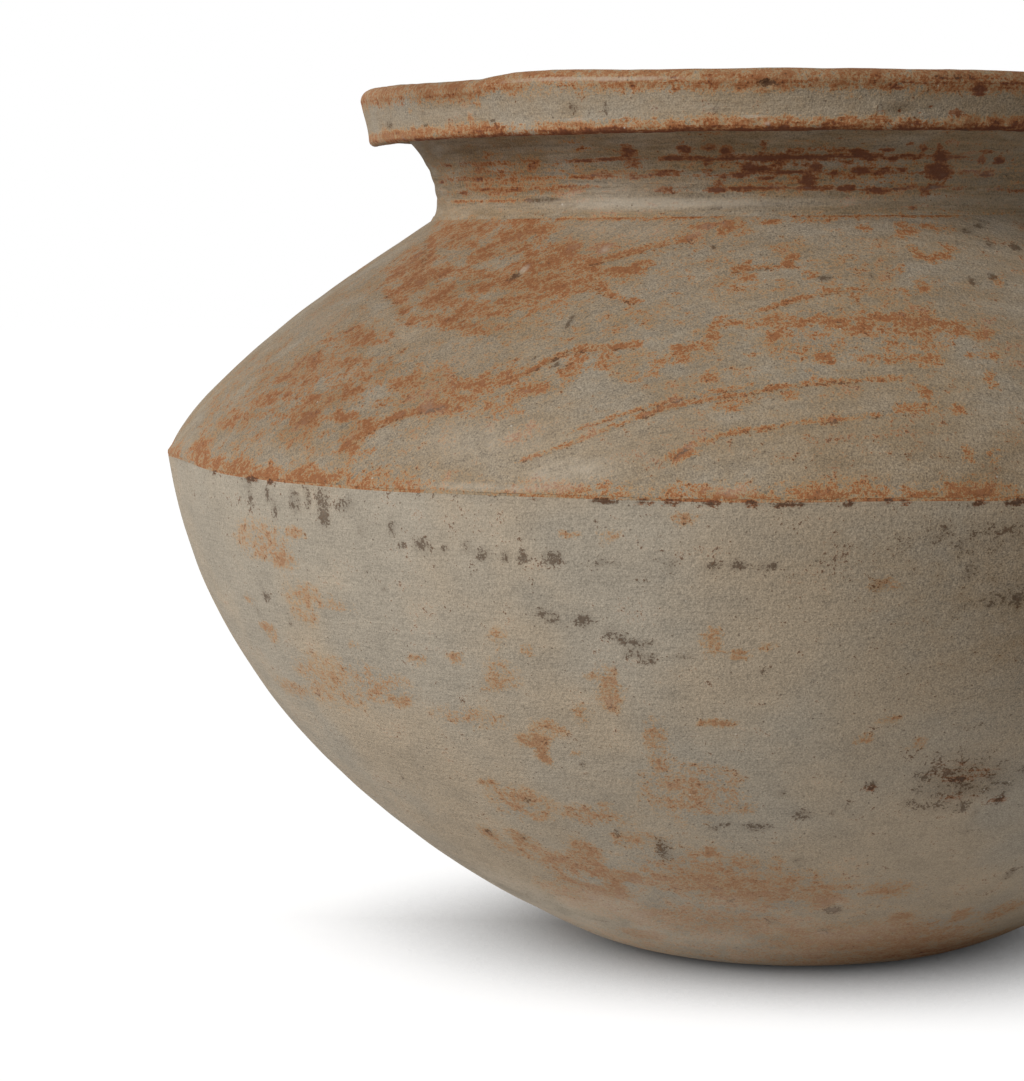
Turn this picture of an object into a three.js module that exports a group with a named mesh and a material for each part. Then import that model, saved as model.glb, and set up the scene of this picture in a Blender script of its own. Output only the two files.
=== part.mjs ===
// A round-bottomed clay water jar with a sharp keel, a short flared neck and a banded rim.
// A potter makes it in separate pieces: a beaten lower bowl, a shoulder, a thrown neck and
// a rim band. Each piece laps over the one below and is stuck to it with a lute, a thin
// layer of wet clay slip. Sizes are in millimetres. The jar stands on z = 0, its axis is z.
import * as THREE from "three";

// Facets round the jar and along its curves
const SEGMENTS = 60;
const FLANK_STEPS = 11;
const BEND_STEPS = 3;
const SHOULDER_STEPS = 8;
const CORNER_STEPS = 2;

// Lower bowl: a flat worn foot, a round turn, then a flank that steepens up to the keel
const FOOT_RADIUS = 38;
const FOOT_BEND_RADIUS = 57;
const FOOT_BEND_DEG = 27;
const FLANK_LOWER_PULL = 65;
const FLANK_UPPER_PULL = 51;
const KEEL_RADIUS = 165;
const KEEL_HEIGHT = 129;
const KEEL_LEAN_DEG = 8.5;
const FOOT_WALL = 9;
const BOWL_WALL = 6.5;

// Shoulder: leaves the keel steeply and flattens towards the neck
const SHOULDER_RISE = 61.5;
const SHOULDER_START_DEG = 20;
const SHOULDER_LOWER_PULL = 23.5;
const SHOULDER_END_DEG = 57;
const SHOULDER_UPPER_PULL = 29;
const SHOULDER_WALL = 6.5;

// Neck: a narrow waist that flares out to the underside of the rim
const WAIST_RADIUS = 94;
const WAIST_RISE = 4;
const NECK_FOOT_FLARE = 0.9;
const NECK_HEIGHT = 21.5;
const NECK_FLARE = 8.5;
const NECK_TOP_DEG = 51;
const NECK_LOWER_PULL = 5;
const NECK_UPPER_PULL = 8;
const NECK_WALL = 8;
const THROWING_RINGS = 5;
const RING_DEPTH = 0.5;

// Rim band: a heavy collar with a shallow channel between two rounded edges
const RIM_OVERHANG = 9;
const RIM_DROP = 2.7;
const RIM_HEIGHT = 15;
const RIM_LEAN = 2.3;
const RIM_CHANNEL = 0.8;
const RIM_LOW_CORNER = 1.5;
const RIM_TOP_CORNER = 3;
const LIP_FLAT = 5;
const LIP_INNER_CORNER = 3.5;
const LIP_INNER_TURN_DEG = 55;

// Lap joints: the lower piece ends in a tongue inside, the upper piece in a skirt outside
const LUTE = 0.8;
const KEEL_SKIRT = 5.5;
const KEEL_TONGUE = 4.5;
const KEEL_LAP = 5;
const SEAM_SKIRT = 4;
const SEAM_TONGUE = 4;
const SEAM_LAP = 4;
const RIM_SKIRT = 4.2;
const RIM_TONGUE = 3;
const RIM_LAP = 5;

// Fired clay: grey-tan where the fire was smoky, browner where it was clear
const BOWL_COLOUR = 0x9c8d79;
const SHOULDER_COLOUR = 0x9a8469;
const NECK_COLOUR = 0x846e58;
const RIM_COLOUR = 0x94806a;
const SLIP_COLOUR = 0x8a6a52;

// Heights and radii of the joints, measured at the outside
const SEAM_HEIGHT = KEEL_HEIGHT + SHOULDER_RISE;
const RIM_SEAT_HEIGHT = SEAM_HEIGHT + NECK_HEIGHT;
const SEAM_RADIUS = WAIST_RADIUS + NECK_FOOT_FLARE;
const NECK_TOP_RADIUS = WAIST_RADIUS + NECK_FLARE;

const point = (radius, height) => new THREE.Vector2(radius, height);
const radians = THREE.MathUtils.degToRad;

// A curve that leaves one point and reaches another at given slopes, in degrees from vertical.
// A positive slope leans outwards on the way up.
function sweep(from, fromDeg, fromPull, to, toDeg, toPull, steps) {
  const leave = point(Math.sin(radians(fromDeg)), Math.cos(radians(fromDeg)));
  const arrive = point(Math.sin(radians(toDeg)), Math.cos(radians(toDeg)));
  const curve = new THREE.CubicBezierCurve(
    from,
    from.clone().addScaledVector(leave, fromPull),
    to.clone().addScaledVector(arrive, -toPull),
    to,
  );
  return curve.getPoints(steps);
}

// A round stretch of an outline, between two directions from its centre. Directions are in
// degrees, 0 straight outwards and 90 straight up.
function arc(centre, radius, fromDeg, toDeg, steps) {
  const turn = (i) => radians(fromDeg + ((toDeg - fromDeg) * i) / steps);
  return Array.from({ length: steps + 1 }, (_, i) =>
    point(
      centre.x + radius * Math.cos(turn(i)),
      centre.y + radius * Math.sin(turn(i)),
    ),
  );
}

// The inside of a wall: each point of the outside moved inwards by the wall's thickness,
// which changes evenly from the first point to the last
function insideOf(outside, firstWall, lastWall) {
  return outside.map((here, i) => {
    const before = outside[Math.max(i - 1, 0)];
    const after = outside[Math.min(i + 1, outside.length - 1)];
    const along = after.clone().sub(before).normalize();
    const wall = THREE.MathUtils.lerp(firstWall, lastWall, i / (outside.length - 1));
    return point(here.x - along.y * wall, here.y + along.x * wall);
  });
}

// A stepped joint: an outer ledge that carries the skirt, a riser and the top of the inner
// tongue. The lower piece takes the step itself, the upper piece takes it moved by the lute.
function lapJoint(outer, skirt, tongue, lap) {
  const innerRadius = outer.x - skirt - tongue;
  const step = (gap) => [
    point(outer.x, outer.y + gap),
    point(outer.x - skirt + gap, outer.y + gap),
    point(outer.x - skirt + gap, outer.y + lap + gap),
    point(innerRadius, outer.y + lap + gap),
  ];
  return { lower: step(0), upper: step(LUTE), innerRadius, top: outer.y + lap + LUTE };
}

// Outside curves, each drawn from its lower end to its upper end
const bend = arc(
  point(FOOT_RADIUS, FOOT_BEND_RADIUS),
  FOOT_BEND_RADIUS,
  -90,
  FOOT_BEND_DEG - 90,
  BEND_STEPS,
);
const keelPoint = point(KEEL_RADIUS, KEEL_HEIGHT);
const flank = sweep(
  bend.at(-1),
  90 - FOOT_BEND_DEG,
  FLANK_LOWER_PULL,
  keelPoint,
  KEEL_LEAN_DEG,
  FLANK_UPPER_PULL,
  FLANK_STEPS,
);
const seamPoint = point(SEAM_RADIUS, SEAM_HEIGHT);
const shoulderCurve = sweep(
  keelPoint.clone().add(point(0, LUTE)),
  -SHOULDER_START_DEG,
  SHOULDER_LOWER_PULL,
  seamPoint,
  -SHOULDER_END_DEG,
  SHOULDER_UPPER_PULL,
  SHOULDER_STEPS,
);
const waistPoint = point(WAIST_RADIUS, SEAM_HEIGHT + WAIST_RISE);
const neckTopPoint = point(NECK_TOP_RADIUS, RIM_SEAT_HEIGHT);
const neckCurve = sweep(
  waistPoint,
  0,
  NECK_LOWER_PULL,
  neckTopPoint,
  NECK_TOP_DEG,
  NECK_UPPER_PULL,
  2 * THROWING_RINGS,
);

// The three joints, from the foot upwards
const keelJoint = lapJoint(keelPoint, KEEL_SKIRT, KEEL_TONGUE, KEEL_LAP);
const seamJoint = lapJoint(seamPoint, SEAM_SKIRT, SEAM_TONGUE, SEAM_LAP);
const rimJoint = lapJoint(neckTopPoint, RIM_SKIRT, RIM_TONGUE, RIM_LAP);

function bowlOutline() {
  const outside = [...bend, ...flank.slice(1)];
  const inside = insideOf(outside, FOOT_WALL, BOWL_WALL)
    .filter((p) => p.y < KEEL_HEIGHT - KEEL_LAP && p.x < keelJoint.innerRadius)
    .toReversed();
  return [point(0, 0), ...outside, ...keelJoint.lower.slice(1), ...inside, point(0, FOOT_WALL)];
}

function shoulderOutline() {
  const inside = insideOf(shoulderCurve, KEEL_SKIRT + KEEL_TONGUE, SHOULDER_WALL)
    .filter((p) => p.y > keelJoint.top && p.x < keelJoint.innerRadius)
    .filter((p) => p.y < SEAM_HEIGHT - SEAM_LAP && p.x > seamJoint.innerRadius)
    .toReversed();
  return [...shoulderCurve, ...seamJoint.lower.slice(1), ...inside, ...keelJoint.upper.toReversed()];
}

// The thrown neck keeps the rings that the potter's fingers left: every second point of its
// outside is the floor of a ring
function neckOutline() {
  const floors = insideOf(neckCurve, RING_DEPTH, RING_DEPTH);
  const outside = neckCurve.map((crest, i) => (i % 2 === 0 ? crest : floors[i]));
  const inside = insideOf(neckCurve, NECK_WALL, NECK_WALL)
    .filter((p, i) => i % 2 === 0 && p.y > seamJoint.top && p.x < rimJoint.innerRadius)
    .toReversed();
  return [...outside, ...rimJoint.lower.slice(1), ...inside, ...seamJoint.upper.toReversed()];
}

function rimOutline() {
  const lowRadius = NECK_TOP_RADIUS + RIM_OVERHANG;
  const lowHeight = RIM_SEAT_HEIGHT - RIM_DROP;
  const topRadius = lowRadius + RIM_LEAN;
  const topHeight = lowHeight + RIM_HEIGHT;
  const lowCorner = arc(
    point(lowRadius - RIM_LOW_CORNER, lowHeight + RIM_LOW_CORNER),
    RIM_LOW_CORNER,
    -90,
    0,
    CORNER_STEPS,
  );
  const topCorner = arc(
    point(topRadius - RIM_TOP_CORNER, topHeight - RIM_TOP_CORNER),
    RIM_TOP_CORNER,
    0,
    90,
    CORNER_STEPS,
  );
  const channel = point(
    (lowRadius + topRadius) / 2 - RIM_CHANNEL,
    (lowCorner.at(-1).y + topCorner[0].y) / 2,
  );
  const lipInner = arc(
    point(topRadius - RIM_TOP_CORNER - LIP_FLAT, topHeight - LIP_INNER_CORNER),
    LIP_INNER_CORNER,
    90,
    90 + LIP_INNER_TURN_DEG,
    CORNER_STEPS,
  );
  return [...lowCorner, channel, ...topCorner, ...lipInner, ...rimJoint.upper.toReversed()];
}

// The lute fills a joint from the lower piece's step to the upper piece's
function luteOutline(joint) {
  return [...joint.upper, ...joint.lower.toReversed()];
}

// Spins an outline into a solid. An outline that doesn't reach the axis closes on itself.
function turned(name, outline, colour) {
  const touchesAxis = outline[0].x === 0;
  const closed = touchesAxis ? outline : [...outline, outline[0].clone()];
  const fired = new THREE.MeshStandardMaterial({ color: colour, roughness: 0.9, metalness: 0 });
  const mesh = new THREE.Mesh(new THREE.LatheGeometry(closed, SEGMENTS), fired);
  mesh.name = name;
  return mesh;
}

// The outlines are drawn upright and spun about the y axis, so the jar is tipped onto z
const jar = new THREE.Group();
jar.name = "water_jar";
jar.rotation.x = Math.PI / 2;
jar.add(
  turned("lower_bowl", bowlOutline(), BOWL_COLOUR),
  turned("keel_lute", luteOutline(keelJoint), SLIP_COLOUR),
  turned("shoulder", shoulderOutline(), SHOULDER_COLOUR),
  turned("neck_lute", luteOutline(seamJoint), SLIP_COLOUR),
  turned("neck", neckOutline(), NECK_COLOUR),
  turned("rim_lute", luteOutline(rimJoint), SLIP_COLOUR),
  turned("rim_band", rimOutline(), RIM_COLOUR),
);

export default jar;
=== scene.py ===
"""A hand-built clay water jar: fired clay walls, slip joints, flame marks and a pale studio."""

import math
import random

import bmesh
import bpy
import numpy as np
from mathutils import Matrix, Vector, noise
from mathutils.geometry import interpolate_bezier


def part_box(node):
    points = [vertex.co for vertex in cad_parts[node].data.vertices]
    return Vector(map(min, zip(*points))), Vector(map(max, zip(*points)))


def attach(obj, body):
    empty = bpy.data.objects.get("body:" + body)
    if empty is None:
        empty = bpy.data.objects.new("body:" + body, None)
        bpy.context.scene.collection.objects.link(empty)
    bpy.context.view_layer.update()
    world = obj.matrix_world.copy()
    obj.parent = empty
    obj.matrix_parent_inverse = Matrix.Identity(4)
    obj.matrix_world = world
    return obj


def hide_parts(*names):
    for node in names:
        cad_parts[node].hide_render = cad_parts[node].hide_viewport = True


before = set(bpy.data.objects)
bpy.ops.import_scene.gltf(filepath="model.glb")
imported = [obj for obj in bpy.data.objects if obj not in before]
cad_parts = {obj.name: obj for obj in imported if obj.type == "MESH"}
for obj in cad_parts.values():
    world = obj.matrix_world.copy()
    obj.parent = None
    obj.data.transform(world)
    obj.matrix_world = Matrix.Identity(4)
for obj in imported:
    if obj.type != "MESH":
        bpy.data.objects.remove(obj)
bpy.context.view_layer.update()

bl_info = {
    "name": "Clay Water Jar",
    "version": (1, 0, 0),
    "blender": (4, 5, 0),
    "location": "View3D > Sidebar > Jar",
    "description": "Builds a hand-made clay water jar round its CAD frame",
    "category": "Add Mesh",
}

# Shapes are worked in millimetres and stored in metres
MM = 0.001


def frame_size(node, corner, axis):
    """One number of a CAD node's box, in millimetres."""
    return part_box(node)[corner][axis] / MM


LOWEST, HIGHEST = 0, 1
ACROSS, UP = 0, 2

KEEL_RADIUS = frame_size("keel_lute", HIGHEST, ACROSS)
KEEL_HEIGHT = frame_size("keel_lute", LOWEST, UP)
LUTE = frame_size("shoulder", LOWEST, UP) - KEEL_HEIGHT
KEEL_LAP = frame_size("lower_bowl", HIGHEST, UP) - KEEL_HEIGHT
SEAM_RADIUS = frame_size("neck_lute", HIGHEST, ACROSS)
SEAM_HEIGHT = frame_size("neck_lute", LOWEST, UP)
SEAM_LAP = frame_size("shoulder", HIGHEST, UP) - SEAM_HEIGHT
SEAT_RADIUS = frame_size("rim_lute", HIGHEST, ACROSS)
SEAT_HEIGHT = frame_size("rim_lute", LOWEST, UP)
SEAT_LAP = frame_size("neck", HIGHEST, UP) - SEAT_HEIGHT
RIM_RADIUS = frame_size("rim_band", HIGHEST, ACROSS)
RIM_BOTTOM = frame_size("rim_band", LOWEST, UP)
RIM_TOP = frame_size("rim_band", HIGHEST, UP)

# Walls, as the frame's pieces are turned
FOOT_RADIUS = 38
FOOT_BEND_RADIUS = 57
FOOT_BEND_DEG = 27
FOOT_WALL = 9
WALL = 6.5
NECK_WALL = 8
WAIST_RADIUS = 94
WAIST_HEIGHT = SEAM_HEIGHT + 4
KEEL_SKIRT, KEEL_TONGUE = 5.5, 4.5
SEAM_SKIRT, SEAM_TONGUE = 4, 4
SEAT_SKIRT, SEAT_TONGUE = 4.2, 3

# Leans of the outlines in degrees from upright, and how far each curve is pulled along them
BOWL_PULL, KEEL_PULL_BELOW, KEEL_LEAN_BELOW = 65, 51, 8.5
KEEL_PULL_ABOVE, KEEL_LEAN_ABOVE = 23.5, -20
SEAM_PULL, SEAM_LEAN = 29, -57
WAIST_PULL, SEAT_PULL, SEAT_LEAN = 5, 8, 51

# Camera, found from the jar's outline in the picture
PICTURE_LONG_SIDE = 1081
FOCAL_PIXELS = 2981.7
SENSOR = 36.0
CAMERA_BACK = 0.7963
CAMERA_HEIGHT = 0.1825
CAMERA_TURN = 0.0937
CAMERA_DIP = 0.0973
CAMERA_ROLL = -0.0031


# Outlines, as (radius, height)

def sweep(start, start_lean, start_pull, end, end_lean, end_pull, steps):
    """Points of a curve; leans are degrees from upright, positive outwards on the way up."""

    def along(lean):
        return Vector((math.sin(math.radians(lean)), math.cos(math.radians(lean))))

    start, end = Vector(start), Vector(end)
    first, last = start + along(start_lean) * start_pull, end - along(end_lean) * end_pull
    return [tuple(p) for p in interpolate_bezier(start, first, last, end, steps + 1)]


def arc(centre, radius, first, last, steps):
    """Points of a round stretch between two directions in degrees, 90 straight up."""
    turns = np.radians(np.linspace(first, last, steps + 1))
    return [(centre[0] + radius * math.cos(t), centre[1] + radius * math.sin(t)) for t in turns]


def straight(start, end, steps):
    """Evenly spaced points from start to end."""
    return [tuple(Vector(start).lerp(Vector(end), i / steps)) for i in range(steps + 1)]


def inside_of(outside, first_wall, last_wall):
    """The inner face of a wall whose thickness changes evenly along it."""
    points = [Vector(p) for p in outside]
    last = len(points) - 1
    inside = []
    for i, here in enumerate(points):
        along = (points[min(i + 1, last)] - points[max(i - 1, 0)]).normalized()
        wall = first_wall + (last_wall - first_wall) * i / last
        inside.append((here.x - along.y * wall, here.y + along.x * wall))
    return inside


def lap_joint(radius, height, skirt, tongue, lap):
    """The lower piece's step and the upper piece's, which the lute holds off it."""

    def step(gap):
        return [
            (radius, height + gap),
            (radius - skirt + gap, height + gap),
            (radius - skirt + gap, height + lap + gap),
            (radius - skirt - tongue, height + lap + gap),
        ]

    return step(0), step(LUTE)


KEEL_JOINT = lap_joint(KEEL_RADIUS, KEEL_HEIGHT, KEEL_SKIRT, KEEL_TONGUE, KEEL_LAP)
SEAM_JOINT = lap_joint(SEAM_RADIUS, SEAM_HEIGHT, SEAM_SKIRT, SEAM_TONGUE, SEAM_LAP)
SEAT_JOINT = lap_joint(SEAT_RADIUS, SEAT_HEIGHT, SEAT_SKIRT, SEAT_TONGUE, SEAT_LAP)


def bowl_curve(steps):
    """The outside of the lower bowl, from the edge of its foot to the keel."""
    centre = (FOOT_RADIUS, FOOT_BEND_RADIUS)
    bend = arc(centre, FOOT_BEND_RADIUS, -90, FOOT_BEND_DEG - 90, max(4, steps // 7))
    keel = (KEEL_RADIUS, KEEL_HEIGHT), KEEL_LEAN_BELOW, KEEL_PULL_BELOW
    return bend + sweep(bend[-1], 90 - FOOT_BEND_DEG, BOWL_PULL, *keel, steps)[1:]


def shoulder_curve(steps):
    """The outside of the shoulder, from the keel to the foot of the neck."""
    keel = (KEEL_RADIUS, KEEL_HEIGHT + LUTE), KEEL_LEAN_ABOVE, KEEL_PULL_ABOVE
    return sweep(*keel, (SEAM_RADIUS, SEAM_HEIGHT), SEAM_LEAN, SEAM_PULL, steps)


def neck_curve(steps):
    """The outside of the neck, from its waist to the seat of the rim."""
    waist = (WAIST_RADIUS, WAIST_HEIGHT), 0, WAIST_PULL
    return sweep(*waist, (SEAT_RADIUS, SEAT_HEIGHT), SEAT_LEAN, SEAT_PULL, steps)


# Clay walls

def hump(value, middle, width):
    """1 at the middle, falling smoothly to nothing a few widths away."""
    return np.exp(-(((value - middle) / width) ** 2))


def turn_apart(azimuth, other):
    """The turn from one azimuth to another in degrees, between -180 and 180."""
    return (azimuth - other + 180) % 360 - 180


class Wall:
    """A turned wall that is being worked. Azimuths are in degrees, 0 at the front and positive
    to the right as seen from there, and every size is in millimetres."""

    SECTORS = 16
    SHARP_DEG = 40
    # Besides real marks, the soot stain also lays painted shade along the shoulder's wiped
    # grooves, the pale stain also lays painted highlights, and the smoke stain also lays painted
    # shade
    STAINS = ("rust", "iron", "soot", "pale", "smoke")
    # Near enough for noise
    DEGREES_A_RADIAN = 57
    # A dab's soft edge reaches this many times its size
    DAB_REACH = 1.4
    # No mark reaches further round than this
    MARK_TURN_DEG = 60
    # In mm: how far apart a trail's dabs lie, how long each is and how long its dent, and how
    # many times as wide as the line the dent is
    TRAIL_STEP, TRAIL_DAB, TRAIL_DENT, DENT_WIDER = 2, 2.4, 3, 1.6
    # Over how many mm the whole jar strays from true, and the seed of the way that it does
    STRAY_SIZE, STRAY_SEED = 125, 7
    # The foot is flat: heights stray by nothing there, and in full from this height up
    FOOT_RISE = 25

    def __init__(self, name, outside, top_joint, inside, bottom_joint, columns):
        """The outline runs up the outside, over, down the inside and back."""
        outline = outside + top_joint + inside + bottom_joint
        bm = bmesh.new()
        face = bm.verts.layers.float.new("face")
        ring = [bm.verts.new((0, -radius * MM, height * MM)) for radius, height in outline]
        for vertex in ring[: len(outside)]:
            vertex[face] = 1
        inner = len(outside) + len(top_joint)
        for vertex in ring[inner : inner + len(inside)]:
            vertex[face] = -1
        ends = ring[1:] if outline[0][0] == 0 else ring[1:] + ring[:1]
        edges = [bm.edges.new(pair) for pair in zip(ring, ends)]
        whole = {"cent": (0, 0, 0), "axis": (0, 0, 1)}
        sector = math.tau / self.SECTORS
        steps = columns // self.SECTORS
        bmesh.ops.spin(bm, geom=ring + edges, angle=sector, steps=steps, **whole)
        bmesh.ops.spin(
            bm,
            geom=bm.verts[:] + bm.edges[:] + bm.faces[:],
            angle=math.tau - sector,
            steps=self.SECTORS - 1,
            use_duplicate=True,
            **whole,
        )
        bmesh.ops.remove_doubles(bm, verts=bm.verts, dist=0.01 * MM)
        bmesh.ops.recalc_face_normals(bm, faces=bm.faces)
        self.mesh = bpy.data.meshes.new(name)
        bm.to_mesh(self.mesh)
        bm.free()

        count = len(self.mesh.vertices)
        self.at = self.read(self.mesh.vertices, "co").reshape(-1, 3) / MM
        self.normals = self.read(self.mesh.vertex_normals, "vector").reshape(-1, 3)
        faces = self.read(self.mesh.attributes["face"].data, "value")
        self.outside = faces > 0.5
        self.inside = faces < -0.5
        self.mesh.attributes.remove(self.mesh.attributes["face"])

        self.azimuth = np.degrees(np.arctan2(self.at[:, 0], -self.at[:, 1]))
        self.radius = np.hypot(self.at[:, 0], self.at[:, 1])
        self.height = self.at[:, 2]
        self.push = np.zeros(count)
        self.lift = np.zeros(count)
        self.stains = {stain: np.zeros(count) for stain in self.STAINS}
        showing = np.flatnonzero(self.outside)
        self.rows = showing[np.argsort(self.height[showing], kind="stable")]
        self.row_heights = self.height[self.rows]

    @staticmethod
    def read(layer, name):
        """All the numbers of one of the mesh's layers."""
        width = len(getattr(layer[0], name)) if name != "value" else 1
        values = np.empty(len(layer) * width, np.float32)
        layer.foreach_get(name, values)
        return values.astype(float)

    def lumps(self, size, lot=0.0):
        """Smooth unevenness from about -1 to 1, its lumps about size across."""
        return np.array([noise.noise(spot) for spot in (self.at / size + lot).tolist()])

    def drift(self, degrees, lot=0.0):
        """The same, but changing only on the way round."""
        turn = np.radians(self.azimuth)
        reach = self.DEGREES_A_RADIAN / degrees
        spots = np.stack([np.sin(turn) * reach, np.cos(turn) * reach, turn * 0 + lot], 1)
        return np.array([noise.noise(spot) for spot in spots.tolist()])

    def around(self, azimuth, degrees):
        """1 at an azimuth, falling smoothly to nothing on both sides."""
        return hump(turn_apart(self.azimuth, azimuth), 0, degrees)

    def oval(self, azimuth, height, half_width, half_height, tilt=0.0):
        """The vertices in a tilted oval and how far out each lies: 0 middle, 1 edge."""
        reach = max(half_width, half_height) if tilt else half_height
        ends = np.searchsorted(self.row_heights, (height - reach, height + reach))
        near = self.rows[ends[0] : ends[1]]
        turn = turn_apart(self.azimuth[near], azimuth)
        close = abs(turn) < self.MARK_TURN_DEG
        near, turn = near[close], turn[close]
        u = np.radians(turn) * self.radius[near]
        v = self.height[near] - height
        across, up = math.cos(math.radians(tilt)), math.sin(math.radians(tilt))
        away = np.hypot((u * across + v * up) / half_width, (v * across - u * up) / half_height)
        return near[away < 1], away[away < 1]

    def press(self, azimuth, height, half_width, half_height, depth, tilt=0.0):
        """Presses a soft dent, or raises a bump where the depth is negative."""
        near, away = self.oval(azimuth, height, half_width, half_height, tilt)
        self.push[near] -= depth * (1 - away**2) ** 2

    def dents(self, marks):
        """Presses every dent in a list."""
        for mark in marks:
            self.press(*mark)

    def dab(self, stain, azimuth, height, half_width, half_height, strength=1.0, tilt=0.0):
        """Stains an oval, strongest in its middle and half as strong at its edge."""
        half_width, half_height = half_width * self.DAB_REACH, half_height * self.DAB_REACH
        near, away = self.oval(azimuth, height, half_width, half_height, tilt)
        values = self.stains[stain]
        values[near] = np.maximum(values[near], strength * (1 - away**2))

    def dabs(self, stain, marks):
        """Dabs every mark in a list."""
        for mark in marks:
            self.dab(stain, *mark)

    def wash(self, stain, strength, height, rise, azimuth=0.0, degrees=math.inf):
        """Adds a soft patch, or a band all round, to what is there."""
        band = strength * hump(self.height, height, rise)
        self.stains[stain] += band * self.around(azimuth, degrees)

    def washes(self, patches):
        """Adds every wash in a list."""
        for patch in patches:
            self.wash(*patch)

    def trail(self, stain, stops, half_width, strength=1.0, depth=0.0):
        """Draws a line through stops of azimuth and height, with a groove along it."""
        for start, end in zip(stops, stops[1:]):
            radius = np.interp(start[1], self.row_heights, self.radius[self.rows])
            across = math.radians(end[0] - start[0]) * radius
            length = math.hypot(across, end[1] - start[1])
            tilt = math.degrees(math.atan2(end[1] - start[1], across))
            steps = max(1, round(length / self.TRAIL_STEP))
            for azimuth, height in straight(start, end, steps):
                self.dab(stain, azimuth, height, self.TRAIL_DAB, half_width, strength, tilt)
                if depth:
                    dent = self.TRAIL_DENT, half_width * self.DENT_WIDER, depth / 2
                    self.press(azimuth, height, *dent, tilt)

    def finish(self, unevenness):
        """Moves the vertices, stores the stains and returns the finished object."""
        free = self.outside | self.inside
        at = self.at + self.normals * (self.push * free)[:, None]
        noise.seed_set(self.STRAY_SEED)
        stray = [noise.noise_vector(spot) for spot in (self.at / self.STRAY_SIZE).tolist()]
        stray = np.array(stray) * unevenness / MM
        stray[:, 2] += self.lift * free
        # The keel stands higher at the far left, and waves a little all round
        keel_wave = 1.5 * self.around(-67, 9) + 0.4 * self.drift(12)
        stray[:, 2] += keel_wave * hump(self.height, KEEL_HEIGHT, 7)
        stray[:, 2] *= np.clip(self.height / self.FOOT_RISE, 0, 1)
        at += stray
        at[:, 2] = np.maximum(at[:, 2], 0)
        self.mesh.vertices.foreach_set("co", (at * MM).astype(np.float32).ravel())
        for name, values in self.stains.items():
            layer = self.mesh.attributes.new(name, "FLOAT", "POINT")
            layer.data.foreach_set("value", values.astype(np.float32))
        self.mesh.shade_smooth()
        self.mesh.set_sharp_from_angle(angle=math.radians(self.SHARP_DEG))
        self.mesh.update()
        piece = bpy.data.objects.new(self.mesh.name, self.mesh)
        bpy.context.collection.objects.link(piece)
        return piece


# Finishes

class Measure:
    """A shader value; arithmetic on it adds Math nodes."""

    def __init__(self, recipe, socket):
        self.recipe = recipe
        self.socket = socket

    def __add__(self, other):
        return self.recipe.maths("ADD", self, other)

    def __sub__(self, other):
        return self.recipe.maths("SUBTRACT", self, other)

    def __rsub__(self, other):
        return self.recipe.maths("SUBTRACT", other, self)

    def __mul__(self, other):
        return self.recipe.maths("MULTIPLY", self, other)

    def __truediv__(self, other):
        return self.recipe.maths("DIVIDE", self, other)

    __radd__ = __add__
    __rmul__ = __mul__


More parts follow.
